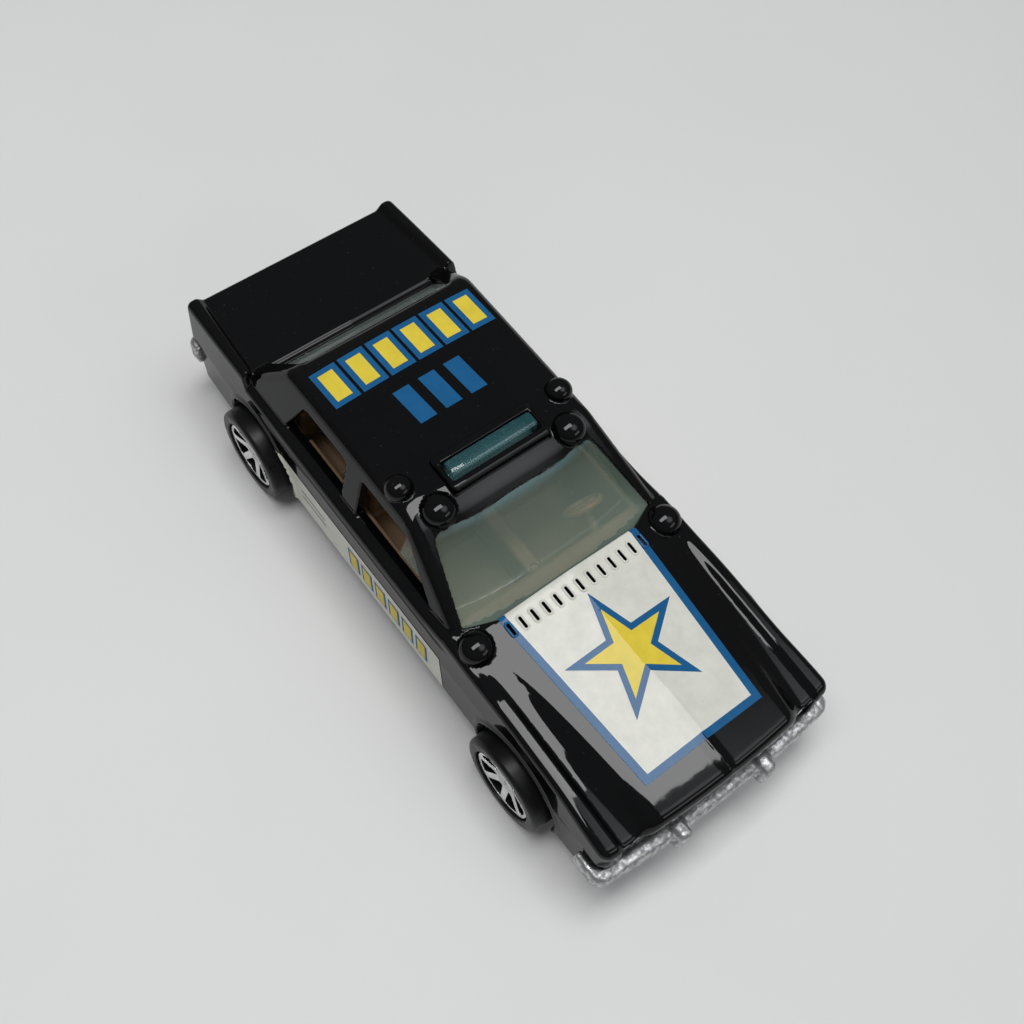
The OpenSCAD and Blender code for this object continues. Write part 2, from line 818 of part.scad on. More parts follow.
module chassis_base() color("silver") {
    difference() {
        union() {
            base_floor();
            end_panel(nose_reach);
            mirror([1, 0, 0]) end_panel(tail_reach);
        }
        for (x = post_xs) translate([x, 0, base_z - overrun]) {
            cylinder(r = rivet_r + fit_gap, h = base_t + 2 * overrun);
            cylinder(r = rivet_head_r + fit_gap, h = rivet_head_h + overrun);
        }
    }
    axle_ears();
    front_face();
    mirror([1, 0, 0]) tail_face();
    bumper(nose_reach, front_stand, bumper_half, arm_l);
    mirror([1, 0, 0]) bumper(tail_reach, rear_stand, body_half, rear_arm_l);
}

module rivet(x) {
    translate([x, 0, base_z + fit_gap]) {
        cylinder(r = rivet_head_r, h = rivet_head_h - fit_gap);
        cylinder(r = rivet_r, h = base_t + post_bore_depth - 2 * fit_gap);
    }
}

module front_rivet() color("gainsboro") rivet(post_xs[0]);
module rear_rivet() color("gainsboro") rivet(post_xs[1]);

module axle(x) {
    end_y = wheel_face_y - dish_depth + head_gap;
    translate([x, 0, axle_z]) rotate([-90, 0, 0]) {
        translate([0, 0, -end_y]) cylinder(r = axle_r, h = 2 * end_y);
        for (z = [-end_y, end_y - axle_head_t])
            translate([0, 0, z]) cylinder(r = axle_head_r, h = axle_head_t);
    }
}

module front_axle() color("lightgray") axle(front_axle_x);
module rear_axle() color("lightgray") axle(rear_axle_x);

// Ring and spokes on a wheel's face
module spoke_plan() {
    difference() {
        circle(rim_r);
        circle(rim_r - rim_ring_w);
    }
    difference() {
        union() {
            circle(hub_r);
            for (i = [0:spoke_count - 1]) rotate(360 * i / spoke_count) polygon([
                [-spoke_inner_w / 2, 0], [spoke_inner_w / 2, 0],
                [spoke_outer_w / 2, rim_r - rim_ring_w / 2], [-spoke_outer_w / 2, rim_r - rim_ring_w / 2]
            ]);
        }
        circle(head_pocket_r + hub_ledge);
    }
}

// Wheel about its own axis, with its face up at z = 0
module wheel_solid() {
    rotate_extrude() polygon([
        [head_pocket_r, -dish_depth],
        [dish_r, -dish_depth], [dish_r, 0],
        [wheel_r - shoulder_r, 0], [wheel_r, -shoulder_r],
        [wheel_r, shoulder_r - wheel_w], [wheel_r - shoulder_r, -wheel_w],
        [back_pocket_r, -wheel_w], [back_pocket_r, back_pocket_depth - wheel_w],
        [back_hub_r, back_pocket_depth - wheel_w], [back_hub_r, -wheel_w],
        [bore_r, -wheel_w], [bore_r, -dish_depth - head_pocket_depth],
        [head_pocket_r, -dish_depth - head_pocket_depth]
    ]);
    translate([0, 0, -dish_depth - spoke_root]) linear_extrude(spoke_root + spoke_rise) spoke_plan();
}

module wheel_foil() {
    translate([0, 0, spoke_rise - dish_depth]) linear_extrude(foil_t) spoke_plan();
}

// Turns a wheel's face outward on the left side and sets it on its axle
module on_left(x) {
    translate([x, wheel_face_y, axle_z]) rotate([-90, 0, 0]) children();
}

module on_right(x) {
    mirror([0, 1, 0]) on_left(x) children();
}

module front_left_wheel() color("dimgray") on_left(front_axle_x) wheel_solid();
module front_right_wheel() color("dimgray") on_right(front_axle_x) wheel_solid();
module rear_left_wheel() color("dimgray") on_left(rear_axle_x) wheel_solid();
module rear_right_wheel() color("dimgray") on_right(rear_axle_x) wheel_solid();
module front_left_foil() color("whitesmoke") on_left(front_axle_x) wheel_foil();
module front_right_foil() color("whitesmoke") on_right(front_axle_x) wheel_foil();
module rear_left_foil() color("whitesmoke") on_left(rear_axle_x) wheel_foil();
module rear_right_foil() color("whitesmoke") on_right(rear_axle_x) wheel_foil();

body_shell();
window_insert();
interior_tub();
chassis_base();
front_axle();
rear_axle();
front_rivet();
rear_rivet();
front_left_wheel();
front_right_wheel();
rear_left_wheel();
rear_right_wheel();
front_left_foil();
front_right_foil();
rear_left_foil();
rear_right_foil();
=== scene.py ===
"""Looks of a small die-cast toy patrol car: enamel shell, prints, clear insert, tub, base and wheels.

Shapes are distance fields in millimetres, negative inside, with +X to the nose, +Y to the car's left
and +Z up. Fields are even in y unless a comment says otherwise, so their functions take y as |y|.
"""

import functools
import json
import math

import bpy
import numpy as np
from mathutils import Matrix, Vector, geometry, noise


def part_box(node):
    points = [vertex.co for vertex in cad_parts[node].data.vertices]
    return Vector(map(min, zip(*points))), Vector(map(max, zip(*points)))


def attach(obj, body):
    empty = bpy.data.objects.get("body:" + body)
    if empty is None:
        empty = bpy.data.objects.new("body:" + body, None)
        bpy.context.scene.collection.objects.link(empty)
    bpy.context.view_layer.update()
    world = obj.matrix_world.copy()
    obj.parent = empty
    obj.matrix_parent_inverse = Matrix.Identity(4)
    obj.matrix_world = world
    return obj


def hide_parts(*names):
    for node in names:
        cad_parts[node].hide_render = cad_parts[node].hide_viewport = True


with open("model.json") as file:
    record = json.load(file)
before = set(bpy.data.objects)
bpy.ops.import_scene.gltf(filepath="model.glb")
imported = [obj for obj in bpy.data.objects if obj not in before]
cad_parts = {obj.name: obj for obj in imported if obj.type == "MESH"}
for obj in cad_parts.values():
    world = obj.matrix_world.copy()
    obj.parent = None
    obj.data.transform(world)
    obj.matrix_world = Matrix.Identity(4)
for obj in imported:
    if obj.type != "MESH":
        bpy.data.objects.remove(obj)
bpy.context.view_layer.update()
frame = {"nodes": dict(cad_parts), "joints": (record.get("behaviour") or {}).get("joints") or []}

MM = 0.001


def cad_span(node):
    """Lowest and highest corner of a CAD node in millimetres."""
    low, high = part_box(node)
    return np.array(low) / MM, np.array(high) / MM


# Driving places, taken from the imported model
shell_low, shell_high = cad_span("body_shell")
base_low, base_high = cad_span("chassis_base")
insert_high = cad_span("window_insert")[1]
wheel_low, wheel_high = cad_span("front_left_wheel")
joint_place = {j["name"]: np.array(j["pos_m"]) / MM for j in frame["joints"]}
front_axle_x = joint_place["front_axle_turn"][0]
rear_axle_x = joint_place["rear_axle_turn"][0]
axle_z = joint_place["front_axle_turn"][2]
wheel_r = (wheel_high[2] - wheel_low[2]) / 2
wheel_w = wheel_high[1] - wheel_low[1]
wheel_face_y = wheel_high[1]

# Lower body
body_half = shell_high[1]
sill_z = shell_low[2]
crease_z = 10.0
belt_z = 14.2
shoulder_z = 14.4
sill_tuck = 0.25
shoulder_tuck = 0.2
nose_draw = 0.1
tail_draw = 0.5
wall = 1.1
nose_lip = 0.4
nose_x = shell_high[0] + nose_lip
nose_bow = 0.75
fender_flare = 0.3
tail_x = -shell_low[0]
arch_r = wheel_r + 0.7
arch_lip_rise = 0.22
moulding_z = 12.9
moulding_rise = 0.14
notch_y = 9.6
notch_depth = 0.3
side_edge_r = 0.75
nose_edge_r = 1.0
tail_edge_r = 0.5
mouth_half = 11.8
mouth_z = 12.3
mouth_depth = 3.0
corner_cut_l = 1.2
corner_cut_z = 9.0
post_x = 30.0
post_r = 2.2
post_bore_r = 1.05
post_top_z = 13.5

# Hood and deck
cowl_x = 12.45
cowl_z = 16.0
hood_fall = 1.3
hood_crown = 0.45
plateau_rear_half = 9.2
plateau_front_half = 7.9
valley_depth = 0.7
valley_gain = 0.8
ridge_y = 12.5
ridge_rise = 0.5
spear_x = 24.5
spear_rise = 0.24
spear_half = 1.0
deck_x = 23.9
deck_z = 15.1
deck_fall = 0.7
fin_rise = 0.75

# Cabin
cabin_half = 12.7
roof_half = 10.8
roof_z = 21.3
roof_edge_z = 20.6
roof_front = 1.2
roof_rear = 18.9
roof_crown = 0.42
roof_arch = 0.25
header_r = 0.85
roof_side_r = 1.0
roof_rear_r = 0.9
screen_front_x = 12.4
screen_base_z = 15.2
screen_run = 1.72
screen_base_half = 11.4
screen_taper = 0.465
screen_bow = 1.2
screen_top_half = 8.9
screen_top_z = 19.9
sail_base = 24.3
sail_base_z = 15.4
recess_foot = 23.5
recess_low_z = 14.95
rear_glass_top_z = 20.1
glass_sink = 0.25
glass_t = 0.8

# Interior
tub_half = 11.5
tub_rear_x = -15.6
tub_front_x = 13.0
front_seat_x = -8.6
rear_seat_x = -20.4
seat_back_t = 2.1
seat_back_z = 13.9
cushion_l = 8.4
cushion_z = 8.6
pleat_w = 1.5
console_half = 0.9
console_z = 9.6
dash_x = 9.4
dash_front_x = 12.3
dash_z = 12.9
gate_x = 8.3
gate_r = 0.5
steer_place = (6.9, 6.6, 13.4)
steer_tilt = math.radians(58)
steer_r = 2.0

# Base
base_top_z = 3.6
rivet_r = 1.8
bar_low_z = 6.4
bar_high_z = 8.9
bar_t = 1.5
guard_low_y = 4.5
guard_high_y = 6.1
panel_x = 33.4
panel_face_x = 34.6
panel_half = 11.7
panel_z = 12.2
lamp_z = 10.6
inner_lamp_y = 7.0
outer_lamp_y = 9.9
lamp_r = 1.2

# Roof light, its bezel and the domes
light_x = -0.2
light_half_l = 0.85
light_half_w = 5.0
light_z = insert_high[2]
bezel_x = -0.25
bezel_half_l = 2.1
bezel_half_w = 5.75
bezel_z = roof_z + 0.6
DOMES = [
    # place along, place across, radius, height
    (-1.8, 9.5, 1.4, 1.15),
    (2.1, 7.7, 1.75, 1.45),
    (13.4, 11.5, 1.75, 1.45),
]

# Print on the hood
panel_rear_x = 12.42
panel_front_x = 32.6
panel_rear_half = 8.4
panel_front_half = 7.05
border_w = 0.75
star_x = 22.1
star_r = 4.75
star_outline = 0.62
slot_count = 13
slot_pitch = 1.33
slot_x = 14.25
slot_half_l = 0.78
slot_half_w = 0.22
slot_depth = 0.4


def mix(a, b, t):
    return a + (b - a) * t


def ramp(t, start, end):
    """Smooth step from 0 at start to 1 at end."""
    u = np.clip((t - start) / (end - start), 0, 1)
    return u * u * (3 - 2 * u)


def meet(*fields):
    """Intersection of fields, with sharp edges."""
    return functools.reduce(np.maximum, fields)


def join(*fields):
    """Union of fields, with sharp edges."""
    return functools.reduce(np.minimum, fields)


def both(a, b, r):
    """Intersection of two fields, with the edge between them rounded to radius r."""
    u = np.maximum(a + r, 0)
    v = np.maximum(b + r, 0)
    return np.minimum(np.maximum(a, b), -r) + np.sqrt(u * u + v * v)


def either(a, b, r):
    """Union of two fields, with a fillet of radius r between them."""
    return -both(-a, -b, r)


def cut(a, b, r):
    """Field a with b taken away, with the new edge rounded to radius r."""
    return both(a, -b, r)


def slab(t, low, high):
    return np.maximum(low - t, t - high)


def block(x, y, z, low, high, r):
    """Box between two corners, with its edges rounded to radius r."""
    total = 0
    deepest = -1e9
    for t, a, b in ((x, low[0], high[0]), (y, low[1], high[1]), (z, low[2], high[2])):
        d = np.abs(t - (a + b) / 2) - (b - a) / 2 + r
        total = total + np.maximum(d, 0) ** 2
        deepest = np.maximum(deepest, d)
    return np.sqrt(total) + np.minimum(deepest, 0) - r


def line_side(u, v, a, b):
    """Signed distance to the line from a to b, positive on its left, in the plane of u and v."""
    du, dv = b[0] - a[0], b[1] - a[1]
    return ((v - a[1]) * du - (u - a[0]) * dv) / math.hypot(du, dv)


def convex(u, v, points, r):
    """Clockwise convex outline in the plane of u and v, with its corners rounded to radius r."""
    field = line_side(u, v, points[-1], points[0])
    for a, b in zip(points, points[1:]):
        field = both(field, line_side(u, v, a, b), r)
    return field


# Lower body

def hood_top(x, y):
    """Height of the hood: spear, creased plateau, valley and fender ridge."""
    along = np.clip((x - cowl_x) / (nose_x - cowl_x), 0, 1)
    half = mix(plateau_rear_half, plateau_front_half, along)
    centre = cowl_z - hood_fall * along ** 1.2
    crown = hood_crown * np.minimum(y / half, 1.15)
    spear = spear_rise * np.clip(1 - y / spear_half, 0, 1) ** 2 * ramp(x, spear_x - 1, spear_x + 4)
    depth = valley_depth + valley_gain * along
    valley = depth * ramp(y, half - 0.4, half + mix(3.6, 2.5, along))
    ridge = ridge_rise * ramp(y, ridge_y - 1.0, ridge_y - 0.1) * ramp(along, 0.05, 0.4)
    return centre - crown + spear - valley + ridge


def deck_top(x, y):
    along = np.clip((-x - deck_x) / (tail_x - deck_x), 0, 1)
    fin = fin_rise * ramp(y, mix(11.7, 10.9, along), mix(12.7, 12.0, along))
    return deck_z - deck_fall * along + fin


def cowl_line(y):
    """Rear edge of the hood, which runs back beside the windscreen's corners."""
    return cowl_x - 0.4 * np.clip(y - 8.4, 0, 3.5)


def body_top(x, y):
    hood = ramp(x - cowl_line(y), -0.5, 0.1)
    shoulder_rise = ramp(x, cowl_x - 6, cowl_x) * ramp(y, 10.5, 12.0) * 0.5
    deck = ramp(-x, deck_x - 0.4, deck_x + 0.4)
    middle = belt_z + shoulder_rise
    return middle + (hood_top(x, y) - middle) * hood + (deck_top(x, y) - middle) * deck


def draw_in(x):
    nose = nose_draw * np.clip(x / nose_x, 0, 1.1) ** 6
    tail = tail_draw * np.clip(-x / tail_x, 0, 1.1) ** 3
    return nose + tail


def body_side(x, z):
    """Half width of the body, with its crease, belt moulding and wheel-arch lips."""
    lower = body_half - sill_tuck * (crease_z - z) / (crease_z - sill_z)
    upper = body_half - shoulder_tuck * (z - crease_z) / (shoulder_z - crease_z)
    half = np.minimum(lower, upper) - draw_in(x)
    half = half + fender_flare * ramp(x, 27, 35) * ramp(z, 9.0, 10.5)
    along_cabin = ramp(x, -22, -19) * (1 - ramp(x, 10, 12))
    half = half + moulding_rise * along_cabin * np.exp(-(((z - moulding_z) / 0.28) ** 2))
    for axle_x in (front_axle_x, rear_axle_x):
        rho = np.hypot(x - axle_x, z - axle_z)
        half = half + arch_lip_rise * np.exp(-(((rho - arch_r - 0.3) / 0.32) ** 2))
    return half


def nose_line(y):
    notch = notch_depth * np.exp(-(((y - notch_y) / 0.7) ** 2))
    return nose_x - nose_bow * (y / ridge_y) ** 2 - notch


def lower_body(x, y, z):
    """Lower body without its underside."""
    top = z - body_top(x, y)
    side = y - body_side(x, z)
    nose = x - nose_line(y)
    tail = -x - tail_x
    field = both(top, side, side_edge_r)
    field = both(field, nose, nose_edge_r)
    return both(field, tail, tail_edge_r)


# Cabin

def sloped(t, z, top_t, base_t, base_z):
    """Distance outside a plane that leans from base_t at base_z to top_t at the roof's edge."""
    run = base_t - top_t
    rise = roof_edge_z - base_z
    return (t - base_t + run * (z - base_z) / rise) * rise / math.hypot(run, rise)


def screen_plane(x, y, z):
    """Distance outside the raked windscreen, which bows back towards its sides."""
    up = np.clip(z - screen_base_z, -2, 6)
    across = np.minimum(y / (screen_base_half - screen_taper * up), 1)
    ahead = screen_front_x - screen_run * (z - screen_base_z) - screen_bow * across ** 3
    return (x - ahead) / math.hypot(1, screen_run)


def rear_plane(x, z):
    return sloped(-x, z, roof_rear, sail_base, sail_base_z)


def cabin_planes(x, y, z):
    """Roof, windscreen, sides and rear of the cabin, open below."""
    side = sloped(y, z, roof_half, cabin_half, belt_z)
    mid_x = (roof_front - roof_rear) / 2
    crown = roof_crown * (y / roof_half) ** 2 + roof_arch * ((x - mid_x) / roof_rear) ** 2
    roof = z - roof_z + crown
    field = both(roof, screen_plane(x, y, z), header_r)
    field = both(field, side, roof_side_r)
    return both(field, rear_plane(x, z), roof_rear_r)


def cabin(x, y, z):
    return both(cabin_planes(x, y, z), belt_z - 2 - z, 0.1)


def rear_window_recess(x, y, z):
    side = sloped(y, z, 8.9, 10.3, belt_z)
    back = -sloped(-x, z, roof_rear, recess_foot, recess_low_z)
    return both(both(side, back, 0.3), recess_low_z - z, 0.3)


def screen_opening(y, z, margin):
    """Windscreen opening seen from the front, smaller by margin."""
    top = z - screen_top_z + 0.4 * (y / roof_half) ** 2
    side = sloped(y, z, screen_top_half, screen_base_half, screen_base_z)
    return both(both(top, side, 0.7), 14.5 - z, 0.2) + margin


def rear_opening(x, y, z, margin):
    """Rear window opening, smaller by margin. Its foot is hidden by the front edge of the deck."""
    top = z - rear_glass_top_z
    side = sloped(y, z, 8.7, 10.1, belt_z)
    outline = both(both(top, side, 0.5), 14.2 - z, 0.2) + margin
    return meet(outline, slab(x, 0.15 - recess_foot + margin, -14))


FRONT_WINDOW = [(-4.85, 14.35), (-5.4, 18.85), (2.2, 18.85), (7.6, 14.35)]
REAR_WINDOW = [(-17.5, 14.35), (-15.4, 18.85), (-8.05, 18.85), (-7.5, 14.35)]


def side_openings(x, z):
    return join(convex(x, z, FRONT_WINDOW, 0.35), convex(x, z, REAR_WINDOW, 0.5))


def bezel(x, y, z):
    frame_low = (bezel_x - bezel_half_l, -bezel_half_w, roof_z - 2)
    frame_high = (bezel_x + bezel_half_l, bezel_half_w, bezel_z)
    return block(x, y, z, frame_low, frame_high, 0.4)


def bezel_pocket(x, y, z):
    low = (light_x - light_half_l - 0.3, -light_half_w - 0.25, roof_z - 4)
    high = (light_x + light_half_l + 0.3, light_half_w + 0.25, bezel_z + 2)
    return block(x, y, z, low, high, 0.25)


def bare_surface(x, y, z):
    """Outside of the shell before its domes are set on it."""
    dome_free = cut(cabin(x, y, z), rear_window_recess(x, y, z), 0.3)
    field = either(lower_body(x, y, z), dome_free, 0.35)
    return either(field, bezel(x, y, z), 0.25)


def halved(field, low, high):
    """Places between low and high where a field turns positive, found by halving."""
    for _ in range(30):
        middle = (low + high) / 2
        outside = field(middle) > 0
        high = np.where(outside, middle, high)
        low = np.where(outside, low, middle)
    return low


def dome_height(x, y):
    """Height of the bare surface under a dome."""
    return float(halved(lambda z: bare_surface(x, y, z), np.float64(13.0), np.float64(24.0)))


def outer_surface(x, y, z):
    """Outside of the shell, with domes but no openings."""
    field = bare_surface(x, y, z)
    for dome_x, dome_y, r, h in DOMES:
        foot = DOME_FEET[(dome_x, dome_y)]
        flat = np.sqrt((x - dome_x) ** 2 + (y - dome_y) ** 2)
        cap = (np.hypot(flat / r, (z - foot) / h) - 1) * h
        field = either(field, cap, 0.1)
    return field


DOME_FEET = {(d[0], d[1]): dome_height(d[0], d[1]) for d in DOMES}


def slot_row(x, y, z):
    """Trench under the row of cowl slots, covered by the print."""
    half = slot_pitch * (slot_count - 1) / 2 + slot_half_w
    bow = 0.25 * (y / half) ** 2
    floor = body_top(x, y) - slot_depth - 0.1
    return meet(np.abs(x + bow - slot_x) - slot_half_l, y - half, floor - z)


def wheel_arches(x, y, z):
    front = np.hypot(x - front_axle_x, z - axle_z) - arch_r
    rear = np.hypot(x - rear_axle_x, z - axle_z) - arch_r
    return meet(join(front, rear), wheel_face_y - wheel_w - 0.6 - y)


def end_openings(x, y, z):
    """Openings for the grille and the tail panel, and the corners cut away over the bumpers."""
    reach = np.maximum(x - (nose_x - nose_lip), -x - tail_x)
    mouth = meet(-mouth_depth - reach, y - mouth_half, z - mouth_z)
    corner = meet(-corner_cut_l - reach, z - corner_cut_z)
    return join(mouth, corner)


def post_reach(x, y):
    """Distance from the axis of the nearer of the two posts."""
    return join(np.hypot(x - post_x, y), np.hypot(x + post_x, y))


def body_shell(x, y, z):
    field = both(outer_surface(x, y, z), sill_z - z, 0.25)
    cabin_hollow = meet(cabin_planes(x, y, z) + wall, belt_z - 2 - z)
    hollow = join(lower_body(x, y, z) + wall, cabin_hollow)
    field = meet(field, -hollow)
    post = post_reach(x, y)
    post = meet(post - post_r, post_bore_r - post, slab(z, base_top_z, post_top_z))
    field = join(field, post)
    field = cut(field, meet(side_openings(x, z), 6 - y), 0.22)
    screen = meet(screen_opening(y, z, 0), 1 - x, x - cowl_line(y) + 0.1)
    field = cut(field, screen, 0.12)
    field = cut(field, rear_opening(x, y, z, 0), 0.15)
    field = cut(field, bezel_pocket(x, y, z), 0.15)
    field = cut(field, wheel_arches(x, y, z), 0.2)
    field = cut(field, end_openings(x, y, z), 0.2)
    return meet(field, -slot_row(x, y, z))


# Other mouldings

def rear_pane(x, y, z):
    recess = cut(cabin(x, y, z), rear_window_recess(x, y, z), 0.3)
    pane = meet(recess + 0.1, -(recess + 0.1 + glass_t))
    return both(pane, rear_opening(x, y, z, 0.05), 0.1)


def window_insert(x, y, z):
    """Windscreen in its opening, flanges inside the shell and the bridge under the roof."""
    skin = cabin(x, y, z)
    pane = meet(skin + glass_sink, -(skin + wall + glass_t))
    screen = both(pane, meet(screen_opening(y, z, 0.06), 1 - x, x - cowl_line(y) + 0.16), 0.1)
    flange = meet(skin + wall + 0.1, -(skin + wall + glass_t))
    flange = meet(flange, 1.5 - x, screen_base_z + 0.05 - z, -2.6 - screen_plane(x, y, z))
    flange = meet(flange, -side_openings(x, z))
    under_roof = slab(z, roof_z - wall - 1.1, roof_z - wall - 0.35)
    bridge = meet(under_roof, y - light_half_w, slab(x, -18.6, 2.2))
    return join(screen, flange, bridge)


def roof_light(x, y, z):
    low = (light_x - light_half_l, -light_half_w, roof_z - wall - 0.4)
    high = (light_x + light_half_l, light_half_w, light_z)
    crown = z - light_z + ((x - light_x) ** 2 + 0.1 * np.maximum(y - 3.5, 0) ** 2) / 3.2
    return both(block(x, y, z, low, high, 0.3), crown, 0.15)


def seat(x, y, z, front_x, low_y, high_y):
    """Seat with a padded back and cushion, both pleated across the car."""
    pleat = 0.07 * np.abs(np.sin((y - low_y) * math.pi / pleat_w))
    lean = 0.12 * (z - 9)
    back = block(x - lean, y, z, (front_x, low_y, 4.0), (front_x + seat_back_t, high_y, seat_back_z), 0.75)
    cushion = block(x, y, z, (front_x + 1, low_y, 4.0), (front_x + cushion_l, high_y, cushion_z), 0.8)
    return either(back, cushion, 0.35) - 0.05 + pleat


def interior_tub(x, y, z):
    floor = block(x, y, z, (tub_rear_x, -tub_half, base_top_z), (tub_front_x, tub_half, 4.6), 0.2)
    rear_floor = block(x, y, z, (-23.0, -10.8, 6.0), (-13.0, 10.8, 7.0), 0.2)
    trim = block(x, y, z, (tub_rear_x, 10.8, 3.7), (tub_front_x, tub_half, dash_z), 0.25)
    front_seat = seat(x, y, z, front_seat_x, 0.85, 10.0)
    rear_seat = seat(x, y, z, rear_seat_x, -10.7, 10.7)
    axle_room = block(x, y, z, (-23.8, -11.2, 2), (-19.6, 11.2, 5.95), 0.1)
    rear_seat = meet(rear_seat, 4.0 - z, -axle_room)
    console = block(x, y, z, (-7.5, -console_half, 4.0), (12.5, console_half, console_z), 0.4)
    dash = block(x, y, z, (dash_x, -tub_half, 9.0), (dash_front_x, tub_half, dash_z), 0.5)
    gate = meet(np.hypot(x - gate_x, y) - gate_r, console_z - 0.25 - z)
    bulkhead = block(x, y, z, (dash_front_x, -5, 4.0), (tub_front_x, 5, 12), 0.2)
    field = join(floor, rear_floor, trim)
    for part in (front_seat, rear_seat, console, bulkhead):
        field = either(field, part, 0.3)
    return cut(either(field, dash, 0.3), gate, 0.08)


def bumper(reach, y, z, half, arm):
    """Cast bar with rounded corners, arms along the sides and two guards, at one end of the car."""
    face = reach + 0.03 * np.maximum(y - 7, 0) ** 1.5
    outer = both(face, y - half, 1.1)
    bar = meet(outer, -(both(face + bar_t, y - half + 0.9, 0.8)))
    bar = both(bar, slab(z, bar_low_z, bar_high_z), 0.55)
    bar = meet(bar, -arm - reach)
    web = meet(slab(reach, -4.2, -0.3), slab(z, 6.5, 7.4), y - 11.6)
    guard = block(reach, y, z, (-1.3, guard_low_y, 5.85), (0.98, guard_high_y, 9.45), 0.6)
    return either(join(bar, web), guard, 0.3)


def chassis_base(x, y, z):
    half = body_half - sill_tuck - wall - 0.15 - draw_in(x)
    floor = both(meet(y - half, np.abs(x) - 34), slab(z, base_low[2], base_top_z), 0.25)
    pan = block(x, y, z, (-15, -8.6, 2.0), (15.5, 8.6, base_low[2] + 0.25), 0.2)
    floor = cut(floor, pan, 0.12)
    rib = block(x, y, z, (-14, -1.1, 2.62), (14.5, 1.1, 3.4), 0.3)
    floor = join(floor, rib)
    for axle_x in (front_axle_x, rear_axle_x):
        notch = meet(np.abs(x - axle_x) - arch_r, 10.9 - y)
        floor = cut(floor, notch, 0.15)
        ear = block(x, y, z, (axle_x - 1.7, 9.5, 2.7), (axle_x + 1.7, 10.9, 5.9), 0.1)
        ear = meet(ear, 0.65 - np.hypot(x - axle_x, z - axle_z))
        floor = join(floor, ear)
    floor = cut(floor, meet(post_reach(x, y) - rivet_r, z - 3.1), 0.1)
    panel_low = (panel_x, -panel_half, 2.6)
    panel_high = (panel_face_x, panel_half, panel_z)
    panel = block(np.abs(x), y, z, panel_low, panel_high, 0.15)
    lamp = join(np.hypot(y - outer_lamp_y, z - lamp_z), np.hypot(y - inner_lamp_y, z - lamp_z))
    ring = meet(np.abs(lamp - lamp_r) - 0.16, slab(x, 34, 35.25))
    lens = np.hypot(lamp, (x - 34.2) * 1.4) - 1.15
    bars = np.abs(np.mod(y + 0.5, 1.0) - 0.5) - 0.17
    bars = meet(bars, y - 5, slab(x, 34, 35.05), slab(z, 9.3, 12))
    tail_lamp = block(x, y, z, (-35.1, 4.6, 9.75), (-34.2, 10.2, 11.45), 0.2)
    panels = either(join(panel, tail_lamp, bars), join(ring, lens), 0.1)
    front = bumper(x - base_high[0] + 1, y, z, base_high[1], 4.2)
    rear = bumper(-x + base_low[0] + 1, y, z, body_half, 2.6)
    return join(either(floor, panels, 0.2), front, rear)


# Wheel about its own axis: x and z across it, t along it, zero at the outer face

spoke_count = 7
rim_r = 3.75
dish_r = 3.95


def spoke_plan(x, z):
    """Bright ring, tapered spokes and hub, in the plane of a wheel's face."""
    rho = np.hypot(x, z)
    step = 2 * math.pi / spoke_count
    angle = np.mod(np.arctan2(x, -z) + step / 2, step) - step / 2
    across = np.abs(rho * np.sin(angle))
    out = rho * np.cos(angle)
    spoke = meet(across - mix(0.52, 0.36, out / rim_r), out - rim_r + 0.2, 0.2 - out)
    ring = np.abs(rho - rim_r + 0.2) - 0.2
    hub = meet(rho - 1.4, 1.12 - rho)
    return either(either(spoke, ring, 0.25), hub, 0.25)


def face_dish(rho):
    """Depth of the bright face below the rim, deeper at the hub."""
    return -0.25 - 0.4 * ramp(-rho, -rim_r + 0.2, -1.0)


def wheel(x, t, z):
    rho = np.hypot(x, z)
    tread = both(rho - wheel_r + 0.02 * (t + wheel_w / 2) ** 2, slab(t, -wheel_w, 0), 0.5)
    dish = meet(rho - dish_r, -1.15 - t)
    back = meet(rho - 4.1, 1.7 - rho, t + wheel_w - 1.6)
    tyre = cut(cut(tread, dish, 0.18), back, 0.2)
    web = meet(spoke_plan(x, z) - 0.02, slab(t, -1.4, face_dish(rho) - 0.06))
    bore = join(rho - 0.65, meet(rho - 1.08, -1.7 - t))
    return meet(join(tyre, web), -bore)


def foil(x, t, z):
    rho = np.hypot(x, z)
    layer = np.abs(t - face_dish(rho) + 0.03) - 0.05
    return both(spoke_plan(x, z), layer, 0.05)


# Meshes from fields

def slope(field, points, reach=0.02):
    """Gradient of a field at points, by central differences."""
    parts = []
    for axis in range(3):
        step = np.zeros(3)
        step[axis] = reach
        ahead = field(*(points + step).T)
        behind = field(*(points - step).T)
        parts.append((ahead - behind) / (2 * reach))
    return np.stack(parts, axis=1)


